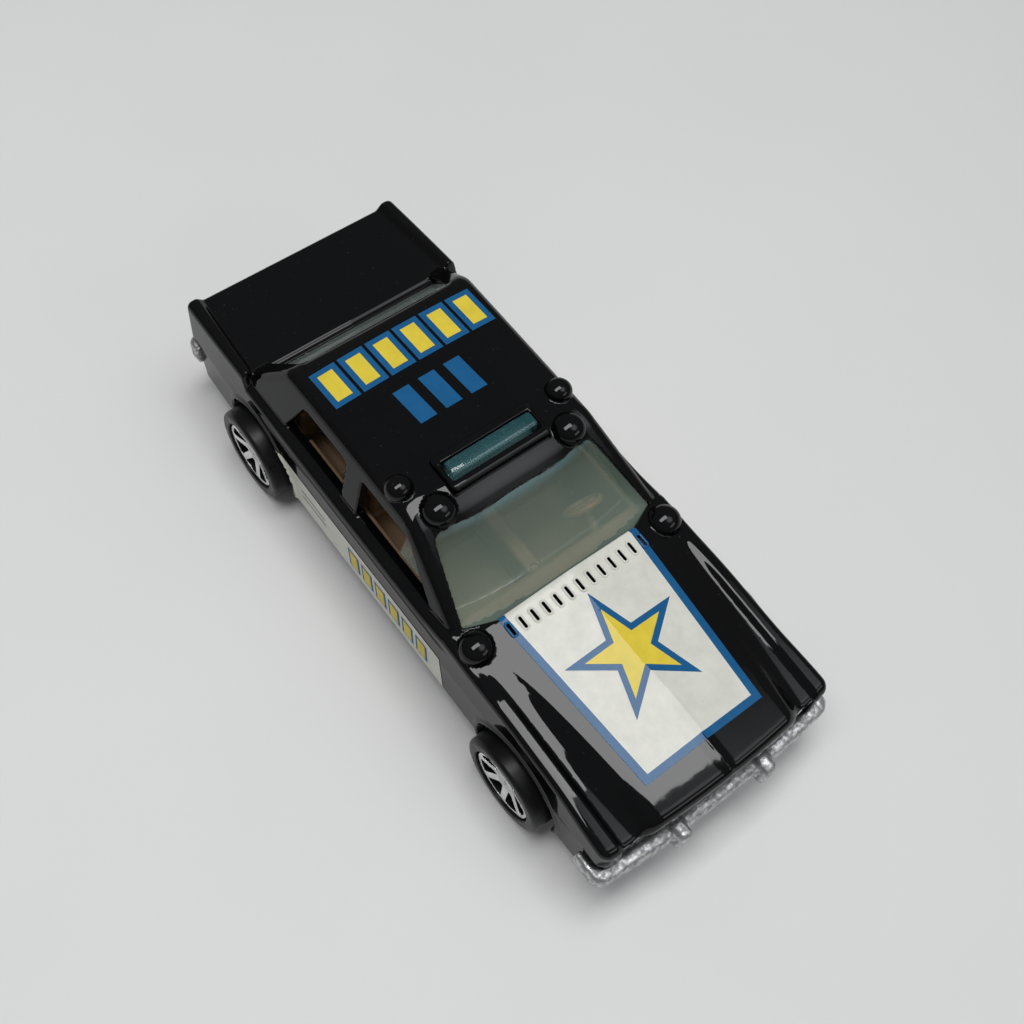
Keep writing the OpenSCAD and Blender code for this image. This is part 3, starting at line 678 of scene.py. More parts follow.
def net(field, low, high, step, even):
    """Vertices and quads of a field's zero surface. An even field is worked out on one half only."""
    start = np.array(low, float) - step
    if even:
        start[1] = -step / 2
    counts = [int(math.ceil((b - a) / step)) + 3 for a, b in zip(start, high)]
    axes = [(a + step * np.arange(n)).astype(np.float32) for a, n in zip(start, counts)]
    values = field(axes[0][:, None, None], axes[1][None, :, None], axes[2][None, None, :])
    values = np.broadcast_to(values, counts)
    inside = values < 0
    corners = [(i, j, k) for i in (0, 1) for j in (0, 1) for k in (0, 1)]
    cells = tuple(n - 1 for n in counts)
    filled = np.zeros(cells, np.int8)
    for i, j, k in corners:
        filled += inside[i:i + cells[0], j:j + cells[1], k:k + cells[2]]
    active = np.argwhere((filled > 0) & (filled < 8))
    index = np.full(cells, -1, np.int64)
    index[tuple(active.T)] = np.arange(len(active))
    total = np.zeros((len(active), 3))
    crossings = np.zeros(len(active))
    for corner in corners:
        for axis in range(3):
            if corner[axis]:
                continue
            a = active + corner
            b = a.copy()
            b[:, axis] += 1
            fa = values[tuple(a.T)]
            fb = values[tuple(b.T)]
            hit = (fa < 0) != (fb < 0)
            share = fa[hit] / (fa[hit] - fb[hit])
            place = np.tile(np.array(corner, float), (len(share), 1))
            place[:, axis] += share
            total[hit] += place
            crossings[hit] += 1
    points = start + step * (active + total / crossings[:, None])
    quads = []
    for axis in range(3):
        u, v = (axis + 1) % 3, (axis + 2) % 3
        first = [slice(1, n - 1) for n in counts]
        first[axis] = slice(0, counts[axis] - 1)
        second = list(first)
        second[axis] = slice(1, counts[axis])
        flip = inside[tuple(first)] != inside[tuple(second)]
        edges = np.argwhere(flip)
        offset = np.ones(3, int)
        offset[axis] = 0
        edges = edges + offset
        inward = inside[tuple(edges.T)]
        ring = []
        for du, dv in ((-1, -1), (0, -1), (0, 0), (-1, 0)):
            cell = edges.copy()
            cell[:, u] += du
            cell[:, v] += dv
            ring.append(index[tuple(cell.T)])
        ring = np.stack(ring, axis=1)
        ring[~inward] = ring[~inward][:, ::-1]
        quads.append(ring)
    return points, np.concatenate(quads)


def settle(field, points, step, even):
    """Moves points onto the zero surface along its slope, by no more than a step."""
    for _ in range(3):
        grade = slope(field, points)
        value = field(*points.T)
        move = -(value / np.maximum((grade ** 2).sum(1), 0.05))[:, None] * grade
        length = np.linalg.norm(move, axis=1, keepdims=True)
        points = points + move * np.minimum(1, 0.5 * step / np.maximum(length, 1e-9))
    if even:
        points[np.abs(points[:, 1]) < step * 0.2, 1] = 0
    return points


def doubled(points, quads):
    """Adds the mirror image of a half, with the points on the middle plane shared."""
    middle = points[:, 1] == 0
    image = np.where(middle, np.arange(len(points)), len(points) - 1 + np.cumsum(~middle))
    copy = points[~middle] * (1, -1, 1)
    return np.concatenate([points, copy]), np.concatenate([quads, image[quads][:, ::-1]])


def mesh_from(name, points, faces):
    mesh = bpy.data.meshes.new(name)
    mesh.from_pydata((points * MM).tolist(), [], faces.tolist())
    mesh.update()
    return mesh


def link(name, mesh):
    piece = bpy.data.objects.new(name, mesh)
    bpy.context.scene.collection.objects.link(piece)
    return piece


def vertex_places(mesh):
    places = np.empty(len(mesh.vertices) * 3)
    mesh.vertices.foreach_get("co", places)
    return places.reshape(-1, 3) / MM


def shade_by(mesh, normals):
    mesh.polygons.foreach_set("use_smooth", np.ones(len(mesh.polygons), bool))
    length = np.linalg.norm(normals, axis=1, keepdims=True)
    mesh.normals_split_custom_set_from_vertices((normals / np.maximum(length, 1e-9)).tolist())


def thinned(piece, most_faces):
    """Collapses the mesh of a piece to about most_faces triangles."""
    faces = len(piece.data.polygons) * 2
    if faces <= most_faces:
        return
    modifier = piece.modifiers.new("thin", "DECIMATE")
    modifier.ratio = most_faces / faces
    deps = bpy.context.evaluated_depsgraph_get()
    mesh = bpy.data.meshes.new_from_object(piece.evaluated_get(deps))
    piece.modifiers.clear()
    piece.data = mesh


def solid(name, field, low, high, step, even=True, most_faces=60000, lumps=None):
    """Piece from a field between two corners. lumps moves the settled points along their normals."""
    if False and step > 0.1:
        step = step * 1.6
    points, quads = net(field, low, high, step, even)
    points = settle(field, points, step, even)
    if lumps:
        grade = slope(field, points)
        grade /= np.maximum(np.linalg.norm(grade, axis=1, keepdims=True), 1e-9)
        points = points + grade * lumps(points)[:, None]
    if even:
        points, quads = doubled(points, quads)
    piece = link(name, mesh_from(name, points, quads))
    thinned(piece, most_faces)
    if lumps:
        piece.data.polygons.foreach_set("use_smooth", np.ones(len(piece.data.polygons), bool))
    else:
        places = vertex_places(piece.data)
        if even:
            folded = places * (1, 0, 1) + np.abs(places) * (0, 1, 0)
            grade = slope(field, folded)
            grade[:, 1] *= np.sign(places[:, 1])
        else:
            grade = slope(field, places)
        shade_by(piece.data, grade)
    return piece


# Materials

def material(name, colour, rough, **sockets):
    """Node material and its tree, with constant values on the shader's own sockets."""
    made = bpy.data.materials.new(name)
    made.use_nodes = True
    shader = made.node_tree.nodes["Principled BSDF"]
    shader.inputs["Base Color"].default_value = (*colour, 1)
    shader.inputs["Roughness"].default_value = rough
    for socket, value in sockets.items():
        shader.inputs[socket.replace("_", " ")].default_value = value
    return made, made.node_tree, shader


def node(tree, kind, values=(), **settings):
    made = tree.nodes.new(kind)
    for key, value in settings.items():
        setattr(made, key, value)
    for key, value in dict(values).items():
        made.inputs[key].default_value = value
    return made


def place_of(tree):
    return node(tree, "ShaderNodeTexCoord").outputs["Object"]


def speckle(tree, size_mm, detail=2.0, rough=0.5):
    """Noise whose largest features are about size_mm across."""
    values = {"Scale": 1 / (size_mm * MM), "Detail": detail, "Roughness": rough}
    made = node(tree, "ShaderNodeTexNoise", values)
    tree.links.new(place_of(tree), made.inputs["Vector"])
    return made.outputs["Fac"]


def spread(tree, value, low, high, to_low, to_high):
    """Maps a value from one range to another, and clamps it."""
    made = node(tree, "ShaderNodeMapRange", {1: low, 2: high, 3: to_low, 4: to_high})
    tree.links.new(value, made.inputs[0])
    return made.outputs[0]


def blend(tree, share, a, b):
    """Colour between a and b by a share."""
    made = node(tree, "ShaderNodeMix", data_type="RGBA")
    for socket, value in ((made.inputs[6], a), (made.inputs[7], b)):
        if isinstance(value, tuple):
            socket.default_value = (*value, 1)
        else:
            tree.links.new(value, socket)
    tree.links.new(share, made.inputs[0])
    return made.outputs[2]


def varied(tree, size_mm, detail, fine, low, high, a, b):
    """Colour that drifts from a to b with a noise."""
    return blend(tree, spread(tree, speckle(tree, size_mm, detail, fine), low, high, 0, 1), a, b)


def wear(tree, shader, size_mm, detail, low, high, smooth, dull, fine=0.5):
    """Roughness that drifts from smooth to dull with a noise."""
    share = spread(tree, speckle(tree, size_mm, detail, fine), low, high, smooth, dull)
    tree.links.new(share, shader.inputs["Roughness"])


def bump(tree, shader, height, depth_mm, strength):
    made = node(tree, "ShaderNodeBump", {"Strength": strength, "Distance": depth_mm * MM})
    tree.links.new(height, made.inputs["Height"])
    tree.links.new(made.outputs["Normal"], shader.inputs["Normal"])
    return made.outputs["Normal"]


def black_paint():
    """Thick gloss enamel with faint orange peel, dust and a few dull rubs."""
    made, tree, shader = material(
        "black_enamel", (0.0015, 0.0016, 0.002), 0.1, Coat_Weight=0.65, Coat_Roughness=0.025, Coat_IOR=1.5,
        Specular_IOR_Level=0.0)
    dust = spread(tree, speckle(tree, 0.35, 1.0), 0.74, 0.8, 0, 1)
    patch = spread(tree, speckle(tree, 9.0, 3.0), 0.45, 0.7, 0, 0.35)
    worn = blend(tree, patch, (0.0015, 0.0016, 0.002), (0.004, 0.004, 0.0045))
    tree.links.new(blend(tree, dust, worn, (0.02, 0.02, 0.019)), shader.inputs["Base Color"])
    wear(tree, shader, 5.0, 4.0, 0.3, 0.75, 0.06, 0.2)
    normal = bump(tree, shader, speckle(tree, 2.2, 2.0), 0.02, 0.14)
    tree.links.new(normal, shader.inputs["Coat Normal"])
    return made


def print_ink(name, colour, under=(0.02, 0.02, 0.022), chips=0.72, pebble=0.25):
    """Tampo ink: slight mottle, and pinholes and chips that show what is under it."""
    made, tree, shader = material(
        name, colour, 0.3, Coat_Weight=0.38, Coat_Roughness=0.04, Specular_IOR_Level=0.0)
    shade = tuple(c * 0.86 for c in colour)
    tone = varied(tree, 2.2, 4.0, 0.65, 0.35, 0.75, colour, shade)
    pin = spread(tree, speckle(tree, 0.22, 2.0), chips, chips + 0.04, 0, 1)
    patch = spread(tree, speckle(tree, 3.5, 2.0), 0.5, 0.62, 0, 1)
    both_shares = node(tree, "ShaderNodeMath", operation="MULTIPLY")
    tree.links.new(pin, both_shares.inputs[0])
    tree.links.new(patch, both_shares.inputs[1])
    tree.links.new(blend(tree, both_shares.outputs[0], tone, under), shader.inputs["Base Color"])
    wear(tree, shader, 1.0, 3.0, 0.3, 0.7, 0.18, 0.42)
    normal = bump(tree, shader, speckle(tree, 0.5, 3.0), 0.01, pebble)
    tree.links.new(normal, shader.inputs["Coat Normal"])
    return made


def clear_plastic(name, colour, rough, haze, thick, rim=None):
    """Tinted clear moulding with milky haze and faint scuffs. rim is a brighter colour near the roof, a
    painted glow along the glass's top edge; with a rim, the colour is also painted darker towards the
    roof, as painted shade of the cabin under it.
    """
    made, tree, shader = material(
        name, colour, rough, Alpha=haze, IOR=1.49, Coat_Weight=1.0, Coat_Roughness=0.03)
    tone = varied(tree, 4.0, 3.0, 0.5, 0.3, 0.7, colour, thick)
    if rim:
        split = node(tree, "ShaderNodeSeparateXYZ")
        tree.links.new(place_of(tree), split.inputs[0])
        height = split.outputs["Z"]
        # Painted shade: the glass turns darker from 15.5 mm up towards the roof, standing for the shaded
        # cabin seen through it
        painted_roof_shade = spread(tree, height, 15.5 * MM, 19.0 * MM, 0, 1)
        tone = blend(tree, painted_roof_shade, tone, tuple(c * 0.55 for c in thick))
        # Painted glow: from 19.2 mm up the glass takes the brighter rim colour along its top edge
        tone = blend(tree, spread(tree, height, 19.2 * MM, 19.7 * MM, 0, 1), tone, rim)
    tree.links.new(tone, shader.inputs["Base Color"])
    wear(tree, shader, 2.5, 5.0, 0.4, 0.8, rough, rough + 0.1, 0.7)
    bump(tree, shader, speckle(tree, 3.0, 2.0), 0.03, 0.12)
    return made


def moulding(name, colour, shade, rough_low, rough_high, grain_mm, gloss=0.5):
    """Satin plastic with flow marks and a fine grain."""
    made, tree, shader = material(name, colour, rough_low, Specular_IOR_Level=gloss)
    tone = varied(tree, 3.0, 5.0, 0.6, 0.3, 0.7, colour, shade)
    tree.links.new(tone, shader.inputs["Base Color"])
    wear(tree, shader, 1.2, 4.0, 0.3, 0.7, rough_low, rough_high)
    bump(tree, shader, speckle(tree, grain_mm, 4.0, 0.6), 0.03, 0.3)
    return made


def cast_metal():
    """Bare zinc casting: tumbled bright spots over a rough grey skin."""
    made, tree, shader = material("bare_zinc", (0.6, 0.6, 0.61), 0.35, Metallic=1.0)
    grain = speckle(tree, 0.5, 4.0, 0.65)
    tone = blend(tree, spread(tree, grain, 0.4, 0.62, 0, 1), (0.34, 0.34, 0.345), (0.6, 0.6, 0.61))
    tree.links.new(tone, shader.inputs["Base Color"])
    tree.links.new(spread(tree, grain, 0.4, 0.62, 0.6, 0.3), shader.inputs["Roughness"])
    bump(tree, shader, speckle(tree, 0.4, 4.0, 0.65), 0.1, 0.7)
    return made


def bright_foil():
    """Hot-stamped foil with dull rubs."""
    made, tree, shader = material("hot_stamped_foil", (0.86, 0.86, 0.87), 0.14, Metallic=1.0)
    tone = varied(tree, 0.6, 4.0, 0.5, 0.35, 0.75, (0.9, 0.9, 0.91), (0.66, 0.66, 0.67))
    tree.links.new(tone, shader.inputs["Base Color"])
    wear(tree, shader, 0.4, 3.0, 0.3, 0.7, 0.08, 0.3)
    bump(tree, shader, speckle(tree, 0.25, 2.0), 0.01, 0.3)
    return made


def steel_wire():
    """Drawn steel with darker rubs."""
    made, tree, shader = material("drawn_wire", (0.55, 0.55, 0.55), 0.3, Metallic=1.0)
    tone = varied(tree, 0.8, 4.0, 0.5, 0.3, 0.7, (0.6, 0.6, 0.6), (0.4, 0.4, 0.41))
    tree.links.new(tone, shader.inputs["Base Color"])
    wear(tree, shader, 0.3, 3.0, 0.3, 0.7, 0.2, 0.45)
    bump(tree, shader, speckle(tree, 0.12, 2.0), 0.01, 0.3)
    return made


BLACK = black_paint()
WHITE_INK = print_ink("white_ink", (0.74, 0.74, 0.67), under=(0.5, 0.5, 0.48), chips=0.7)
BLUE_INK = print_ink("blue_ink", (0.014, 0.115, 0.28))
YELLOW_INK = print_ink("yellow_ink", (0.8, 0.63, 0.065), under=(0.6, 0.55, 0.3), pebble=0.6)
GREY_INK = print_ink("grey_ink", (0.35, 0.36, 0.36))
CLEAR = clear_plastic(
    "tinted_clear_plastic", (0.34, 0.44, 0.36), 0.04, 0.26, (0.3, 0.4, 0.32), rim=(0.3, 0.6, 0.64))
# Rear pane: a paler, hazier copy of the tinted clear plastic; its paler colour is painted light, standing
# for the light seen through the pane at a grazing angle
HAZY_LIT_CLEAR = clear_plastic("hazy_lit_clear_plastic", (0.5, 0.58, 0.53), 0.06, 0.65, (0.42, 0.5, 0.45))
TEAL = clear_plastic("teal_clear_plastic", (0.025, 0.14, 0.155), 0.05, 0.5, (0.016, 0.095, 0.11))
BROWN = moulding("brown_moulding", (0.3, 0.185, 0.1), (0.24, 0.145, 0.078), 0.35, 0.55, 0.5)
TYRE = moulding("black_moulding", (0.005, 0.005, 0.0055), (0.008, 0.008, 0.009), 0.26, 0.42, 0.7, 0.2)
ZINC = cast_metal()
FOIL = bright_foil()
WIRE = steel_wire()


def dress(piece, finish, body, slot, *nodes):
    piece.data.materials.clear()
    piece.data.materials.append(finish)
    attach(piece, body)
    if nodes:
        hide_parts(*nodes)
    return piece


# Solid pieces

def lumpy(points):
    """Rough skin of the cast bumpers, in millimetres along the normal."""
    out = np.empty(len(points))
    for i, p in enumerate(points):
        coarse = noise.noise(Vector(p) * 0.55)
        fine = noise.noise(Vector(p) * 1.9)
        out[i] = 0.1 * coarse + 0.07 * fine
    at_bumper = ramp(np.abs(points[:, 0]), 34.8, 35.6)
    return out * (0.12 + 0.88 * at_bumper)


body = solid(
    "painted_shell", body_shell,
    (shell_low[0] - 0.3, 0, sill_z - 0.3), (nose_x + 0.3, body_half + 0.4, bezel_z + 0.5),
    0.2, most_faces=190000)
dress(body, BLACK, "chassis", "black_paint", "body_shell")

glass = solid(
    "clear_insert", window_insert,
    (-recess_foot - 1, 0, 14.2), (cowl_x + 0.3, 12.4, roof_z),
    0.18, most_faces=70000)
dress(glass, CLEAR, "chassis", "tinted_clear", "window_insert")

rear_glass = solid(
    "rear_window", rear_pane,
    (-recess_foot - 1, 0, 14.2), (-14, 11, roof_z),
    0.15, most_faces=30000)
dress(rear_glass, HAZY_LIT_CLEAR, "chassis", "tinted_clear")

light = solid(
    "roof_light", roof_light,
    (light_x - light_half_l, 0, roof_z - 2), (light_x + light_half_l, light_half_w, light_z),
    0.1, most_faces=16000)
dress(light, TEAL, "chassis", "tinted_clear")

tub = solid("moulded_tub", interior_tub, (-24, 0, 3.4), (13.4, 11.8, 14.5), 0.24, most_faces=80000)
dress(tub, BROWN, "chassis", "brown_plastic", "interior_tub")

base = solid(
    "cast_base", chassis_base, (base_low[0], 0, base_low[2]), (base_high[0], base_high[1] + 0.3, 12.5),
    0.2, most_faces=120000, lumps=lumpy)
dress(base, ZINC, "chassis", "bare_casting", "chassis_base")


def steering(x, y, z):
    """Steering wheel with two spokes on a column. This field isn't even in y."""
    dx, dy, dz = x - steer_place[0], y - steer_place[1], z - steer_place[2]
    up = dx * -math.sin(steer_tilt) + dz * math.cos(steer_tilt)
    fore = dx * math.cos(steer_tilt) + dz * math.sin(steer_tilt)
    flat = np.hypot(fore, dy)
    rim = np.hypot(flat - steer_r, up) - 0.36
    spokes = meet(np.hypot(fore, up) - 0.3, flat - steer_r)
    column = meet(flat - 0.5, slab(up, -3.6, 0.25))
    return either(either(rim, spokes, 0.2), column, 0.3)


wheel_piece = solid("steering", steering, (3, 3.8, 10), (11, 9.6, 16), 0.12, even=False, most_faces=16000)
dress(wheel_piece, BROWN, "chassis", "brown_plastic")


def road_wheel(corner, x, side, rolled):
    """Wheel and its foil at one corner. side is 1 on the left and -1 on the right."""
    place = Vector((x, side * wheel_face_y, axle_z)) * MM
    turn = Matrix.Rotation(math.radians(-rolled), 4, "Y")
    if side < 0:
        turn = turn @ Matrix.Rotation(math.pi, 4, "Z")
    for kind, mesh, finish, slot in (
        ("wheel", WHEEL_MESH, TYRE, "black_plastic"),
        ("foil", FOIL_MESH, FOIL, "bright_foil"),
    ):
        piece = link(f"{corner}_{kind}_detail", mesh.copy())
        piece.matrix_world = Matrix.Translation(place) @ turn
        dress(piece, finish, corner, slot, f"{corner}_{kind}")


def loose_mesh(name, field, reach, depth, step, most_faces):
    """Mesh of a field about its own axis, without an object."""
    piece = solid(name, field, (-reach, -depth, -reach), (reach, 0.1, reach), step, False, most_faces)
    mesh = piece.data
    bpy.data.objects.remove(piece)
    return mesh


WHEEL_MESH = loose_mesh("wheel_detail", wheel, wheel_r, wheel_w, 0.14, 60000)
FOIL_MESH = loose_mesh("foil_detail", foil, rim_r + 0.1, 1.0, 0.07, 30000)
for end, axle_x, rolled in (("front", front_axle_x, 7), ("rear", rear_axle_x, 17)):
    for word, side in (("left", 1), ("right", -1)):
        road_wheel(f"{end}_{word}", axle_x, side, rolled)

for name in ("front_axle", "rear_axle", "front_rivet", "rear_rivet"):
    slots = frame["nodes"][name].data.materials
    slots.clear()
    slots.append(WIRE)


# Prints: thin sheets laid on the shell

def arc_free(loop, spacing):
    """Outline with extra points, so that no side is longer than spacing."""
    out = []
    for a, b in zip(loop, loop[1:] + loop[:1]):
        n = max(1, int(math.ceil(math.dist(a, b) / spacing)))
        out += [(mix(a[0], b[0], i / n), mix(a[1], b[1], i / n)) for i in range(n)]
    return out


def inside_loops(points, loops):
    """True where a point lies inside an odd number of outlines."""
    result = np.zeros(len(points), bool)
    u, v = points.T
    for loop in loops:
        for (a, b), (c, d) in zip(loop, loop[1:] + loop[:1]):
            if b == d:
                continue
            crosses = (b > v) != (d > v)
            result ^= crosses & (u < (c - a) * (v - b) / (d - b) + a)
    return result


def on_top(points):
    """Places on the shell straight under points in X and Y."""
    x, y = points.T
    z = halved(lambda t: outer_surface(x, np.abs(y), t), np.full(len(x), 12.5), np.full(len(x), 23.5))
    return np.stack([x, y, z], axis=1)


def on_side(side):
    """Function that lays points in X and Z on one side of the shell."""
    def lay(points):
        x, z = points.T
        y = halved(lambda t: outer_surface(x, t, z), np.full(len(x), 11.0), np.full(len(x), 15.5))
        return np.stack([x, side * y, z], axis=1)
    return lay


def printed(name, loops, lay, lift, finish, spacing=0.4):
    """Sheet inside the outlines, laid on the shell and lifted from it by lift millimetres."""
    fine = [arc_free(loop, spacing) for loop in loops]
    rim = np.array([p for loop in fine for p in loop])
    edges = []
    start = 0
    for loop in fine:
        n = len(loop)
        edges += [(start + i, start + (i + 1) % n) for i in range(n)]
        start += n
    low, high = rim.min(0), rim.max(0)
    grid = np.stack(np.meshgrid(
        np.arange(low[0] + spacing / 2, high[0], spacing),
        np.arange(low[1] + spacing / 2, high[1], spacing)), axis=-1).reshape(-1, 2)
    grid = grid[inside_loops(grid, fine)]
    flat = [Vector(p) for p in np.concatenate([rim, grid]).tolist()]
    verts, _, faces, *_ = geometry.delaunay_2d_cdt(flat, edges, [], 0, 1e-5)
    places = np.array([v[:] for v in verts])
    faces = np.array(faces)
    faces = faces[inside_loops(places[faces].mean(1), fine)]
    spots = lay(places)
    folded = spots * (1, 0, 1) + np.abs(spots) * (0, 1, 0)
    normals = slope(outer_surface, folded)
    normals[:, 1] *= np.where(spots[:, 1] < 0, -1, 1)
    normals /= np.linalg.norm(normals, axis=1, keepdims=True)
    points = spots + normals * lift
    a, b, c = (points[faces[:, i]] for i in range(3))
    backward = (np.cross(b - a, c - a) * normals[faces[:, 0]]).sum(1) < 0
    faces[backward] = faces[backward][:, ::-1]
    piece = link(name, mesh_from(name, points, faces))
    shade_by(piece.data, normals)
    return dress(piece, finish, "chassis", "black_paint")


def star(centre_x, tip_r):
    """Five-pointed star with one tip to the rear."""
    notch_r = tip_r * math.sin(math.radians(18)) / math.sin(math.radians(54))
    points = []
    for i in range(10):
        r = notch_r if i % 2 else tip_r
        angle = math.pi + i * math.pi / 5
        points.append((centre_x + r * math.cos(angle), r * math.sin(angle)))
    return points


def stadium(centre, half_l, half_w, count=6):
    """Slot outline that is long in the first direction."""
    points = []
    for end in (1, -1):
        for i in range(count + 1):
            angle = (i / count - 0.5) * math.pi
            u = end * (half_l - half_w + half_w * math.cos(angle))
            v = end * half_w * math.sin(angle)
            points.append((centre[0] + u, centre[1] + v))
    return points


def slot_outlines():
    out = []
    half = slot_pitch * (slot_count - 1) / 2
    for i in range(slot_count):
        y = slot_pitch * i - half
        out.append(stadium((slot_x - 0.25 * (y / half) ** 2, y), slot_half_l - 0.06, slot_half_w))
    return out


def tapered(inset):
    """Outline of the hood's panel, moved in by inset at the sides and the front."""
    rear = panel_rear_half - inset
    front = panel_front_half - inset
    bow = []
    for s in (0, 0.25, 0.5, 0.75, 1):
        bow.append((panel_rear_x + 0.1 - 0.12 * (s * 2 - 1) ** 2, mix(rear, -rear, s)))
    return bow + [(panel_front_x - inset, -front), (panel_front_x - inset, front)]


def slanted(x, y, length, width, lean):
    """Block whose long side runs along the car, leaning across it."""
    return [(x, y), (x, y + width), (x + length, y + width + lean), (x + length, y + lean)]


def grown(loop, margin):
    """Convex outline moved out by margin, with mitred corners."""
    out = []
    n = len(loop)
    area = sum(a[0] * b[1] - b[0] * a[1] for a, b in zip(loop, loop[1:] + loop[:1]))
    turn = 1 if area > 0 else -1
    for i in range(n):
        before = Vector(loop[i]) - Vector(loop[i - 1])
        after = Vector(loop[(i + 1) % n]) - Vector(loop[i])
        n1 = Vector((before.y, -before.x)).normalized() * turn
        n2 = Vector((after.y, -after.x)).normalized() * turn
        corner = Vector(loop[i]) + (n1 + n2) * margin / (1 + n1.dot(n2))
        out.append(corner[:])
    return out


def slot_lips(name, loops, finish):
    """Raised lips round cowl slots, each a flat tube closed on itself."""
    around = 8
    points = []
    faces = []
    for loop in loops:
        path = np.array(grown(loop, 0.06))
        spots = on_top(path)
        side = np.roll(path, -1, 0) - np.roll(path, 1, 0)
        side /= np.linalg.norm(side, axis=1, keepdims=True)
        start = len(points)
        for spot, along in zip(spots, side):
            for k in range(around):
                angle = 2 * math.pi * k / around
                reach = 0.13 * math.cos(angle)
                points.append(spot + (along[1] * reach, -along[0] * reach, 0.05 + 0.12 * math.sin(angle)))
        n = len(path)
        for i in range(n):
            for k in range(around):
                a, b = start + i * around, start + (i + 1) % n * around
                m = (k + 1) % around
                faces.append((a + k, b + k, b + m, a + m))
    piece = link(name, mesh_from(name, np.array(points), np.array(faces)))
    piece.data.polygons.foreach_set("use_smooth", np.ones(len(faces), bool))
    dress(piece, finish, "chassis", "black_paint")


slots = slot_outlines()
slot_lips("slot_lips", slots[1:-1], WHITE_INK)
slot_lips("end_slot_lips", [slots[0], slots[-1]], BLUE_INK)
white_panel = tapered(border_w)
printed("hood_panel", [white_panel] + slots[1:-1], on_top, 0.05, WHITE_INK, 0.3)
printed("hood_border", [tapered(0), white_panel, slots[0], slots[-1]], on_top, 0.05, BLUE_INK, 0.3)
outline_r = star_r + star_outline / math.sin(math.radians(18))
printed("star_outline", [star(star_x, outline_r), star(star_x, star_r)], on_top, 0.07, BLUE_INK, 0.25)
printed("star_fill", [star(star_x, star_r)], on_top, 0.07, YELLOW_INK, 0.25)

# Six slanted blocks and three bars stand where the photographed toy has words and digits
ROOF_BLOCKS = [slanted(-16.4, mix(-8.9, 7.3, i / 5), 3.5, 1.7, 0.1) for i in range(6)]
ROOF_BARS = [slanted(-10.6, y, 4.4, 1.9, 0.3) for y in (-4.1, -1.1, 1.9)]
for i, loop in enumerate(ROOF_BLOCKS):
    printed(f"roof_block_{i + 1}", [loop], on_top, 0.07, YELLOW_INK)
    printed(f"roof_block_edge_{i + 1}", [grown(loop, 0.6), loop], on_top, 0.05, BLUE_INK)
for i, loop in enumerate(ROOF_BARS):
    printed(f"roof_bar_{i + 1}", [loop], on_top, 0.05, BLUE_INK)


def door_panel():
    """White panel from the rear arch to the front fender."""
    arch = []
    for i in range(9):
        z = mix(3.7, 10.3, i / 8)
        arch.append((rear_axle_x + math.sqrt((arch_r + 0.05) ** 2 - (z - axle_z) ** 2), z))
    return arch + [(10.8, 10.3), (11.3, 3.7)]


DOOR_BLOCKS = [slanted(-4.6 + 2.35 * i, 5.5, 1.3, 3.2, 0) for i in range(6)]
DOOR_BARS = [[(-13.6, z), (-13.6, z + 0.5), (-9.2, z + 0.5), (-9.2, z)] for z in (6.4, 7.7)]
for side, word in ((1, "left"), (-1, "right")):
    lay = on_side(side)
    printed(f"{word}_door_panel", [door_panel()], lay, 0.04, WHITE_INK)
    for i, loop in enumerate(DOOR_BLOCKS):
        printed(f"{word}_door_block_{i + 1}", [loop], lay, 0.08, YELLOW_INK)
        printed(f"{word}_door_block_edge_{i + 1}", [grown(loop, 0.3), loop], lay, 0.06, BLUE_INK)
    for i, loop in enumerate(DOOR_BARS):
        printed(f"{word}_door_bar_{i + 1}", [loop], lay, 0.06, GREY_INK)


# Stage, light and camera

camera_place = Vector((46.19, -41.13, 121.97)) * MM
camera_right = Vector((0.6063, 0.7927, 0.0643))
camera_up = Vector((-0.7161, 0.5089, 0.4777))
focal_px = 1247.46
photo_px = 1024
sensor_mm = 36.0


def make_camera():
    data = bpy.data.cameras.new("photo_camera")
    data.sensor_width = sensor_mm
    data.lens = focal_px * sensor_mm / photo_px
    data.clip_start = 0.005
    camera = bpy.data.objects.new("photo_camera", data)
    bpy.context.scene.collection.objects.link(camera)
    back = camera_right.cross(camera_up).normalized()
    up = back.cross(camera_right).normalized()
    turn = Matrix((camera_right.normalized(), up, back)).transposed().to_4x4()
    camera.matrix_world = Matrix.Translation(camera_place) @ turn
    bpy.context.scene.camera = camera


def make_floor():
    made, tree, shader = material("floor_card", (0.8, 0.8, 0.79), 0.6)
    tone = varied(tree, 60, 3.0, 0.5, 0.3, 0.7, (0.8, 0.8, 0.79), (0.77, 0.77, 0.765))
    tree.links.new(tone, shader.inputs["Base Color"])
    half = 1.5
    corners = [(-half, -half, 0), (half, -half, 0), (half, half, 0), (-half, half, 0)]
    mesh = bpy.data.meshes.new("floor")
    mesh.from_pydata(corners, [], [(0, 1, 2, 3)])
    floor = link("floor", mesh)
    mesh.materials.append(made)


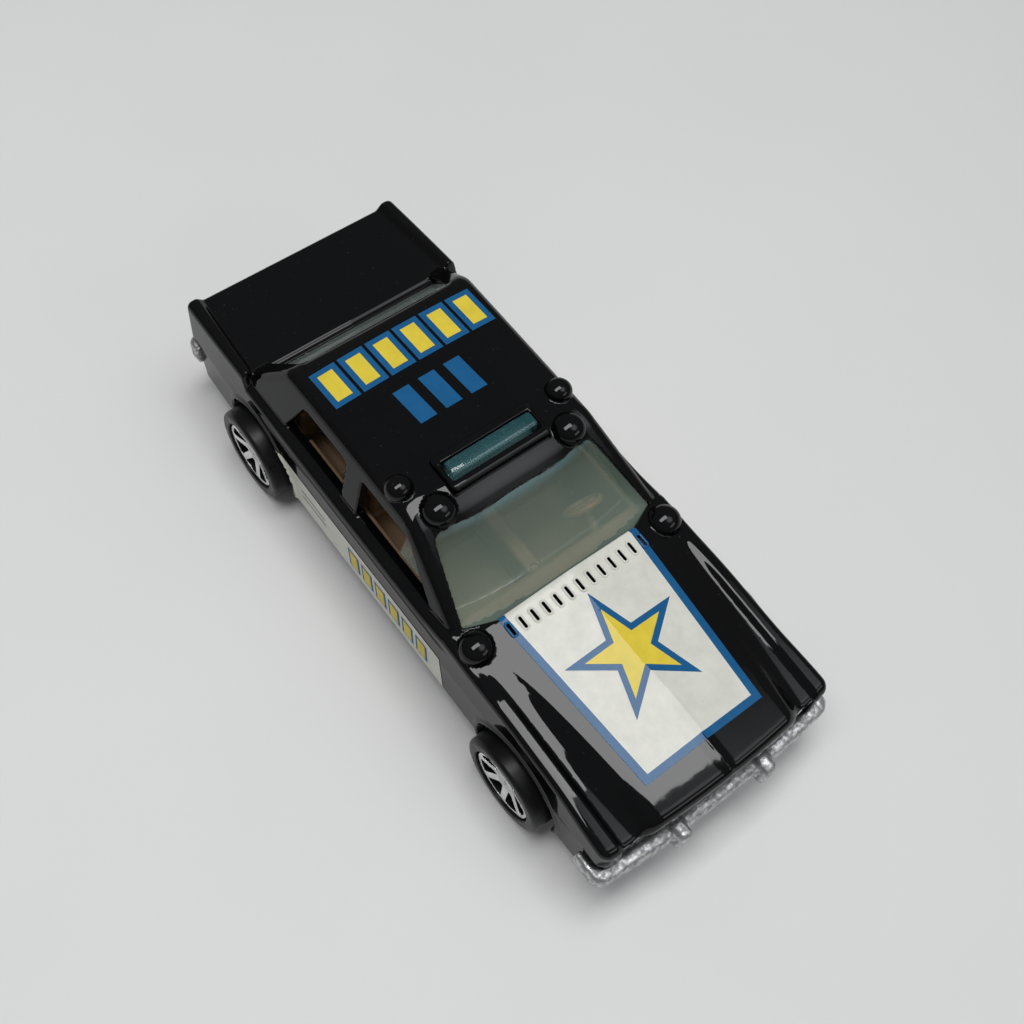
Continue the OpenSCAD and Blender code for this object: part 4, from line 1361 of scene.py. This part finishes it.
def make_light(name, place, aim, size_x, size_y, radiance, turn=0.0):
    """Soft box of a given radiance, aimed at a point."""
    data = bpy.data.lights.new(name, "AREA")
    data.shape = "RECTANGLE"
    data.size = size_x
    data.size_y = size_y
    data.energy = radiance * math.pi * size_x * size_y
    lamp = bpy.data.objects.new(name, data)
    bpy.context.scene.collection.objects.link(lamp)
    lamp.location = place
    aim_at = (Vector(aim) - Vector(place)).to_track_quat("-Z", "Y")
    lamp.rotation_euler = (aim_at.to_matrix() @ Matrix.Rotation(turn, 3, "Z")).to_euler()


glow_side = (0.29, 0.336, 0.893)
glow_strength = 2.2
room_low = 0.13
room_high = 0.2


def make_world():
    """Dim room round the set, with a soft glow on one side of the ceiling."""
    world = bpy.data.worlds.new("set")
    bpy.context.scene.world = world
    world.use_nodes = True
    tree = world.node_tree
    sky = tree.nodes["Background"]
    place = node(tree, "ShaderNodeTexCoord")
    split = node(tree, "ShaderNodeSeparateXYZ")
    tree.links.new(place.outputs["Generated"], split.inputs[0])
    toward = node(tree, "ShaderNodeVectorMath", {1: glow_side}, operation="DOT_PRODUCT")
    tree.links.new(place.outputs["Generated"], toward.inputs[0])
    strength = node(tree, "ShaderNodeMath", operation="ADD")
    tree.links.new(spread(tree, toward.outputs["Value"], 0.93, 1.0, 0, glow_strength), strength.inputs[0])
    tree.links.new(spread(tree, split.outputs["Z"], 0.2, 0.7, room_low, room_high), strength.inputs[1])
    tree.links.new(strength.outputs[0], sky.inputs["Strength"])
    high = spread(tree, split.outputs["Z"], 0.3, 0.75, 0, 1)
    tone = blend(tree, high, (1.0, 0.995, 0.97), (0.95, 0.98, 1.01))
    tree.links.new(tone, sky.inputs["Color"])


make_camera()
make_floor()
make_light("key_strip", (-0.023, -0.04, 0.4355), (-0.023, -0.04, 0.0), 0.134, 0.35, 7.5)
make_light("front_strip", (0.42, 0.18, 0.28), (0.0, 0.0, 0.01), 0.3, 0.12, 1.6)
make_world()
bpy.context.scene.view_settings.view_transform = "Standard"
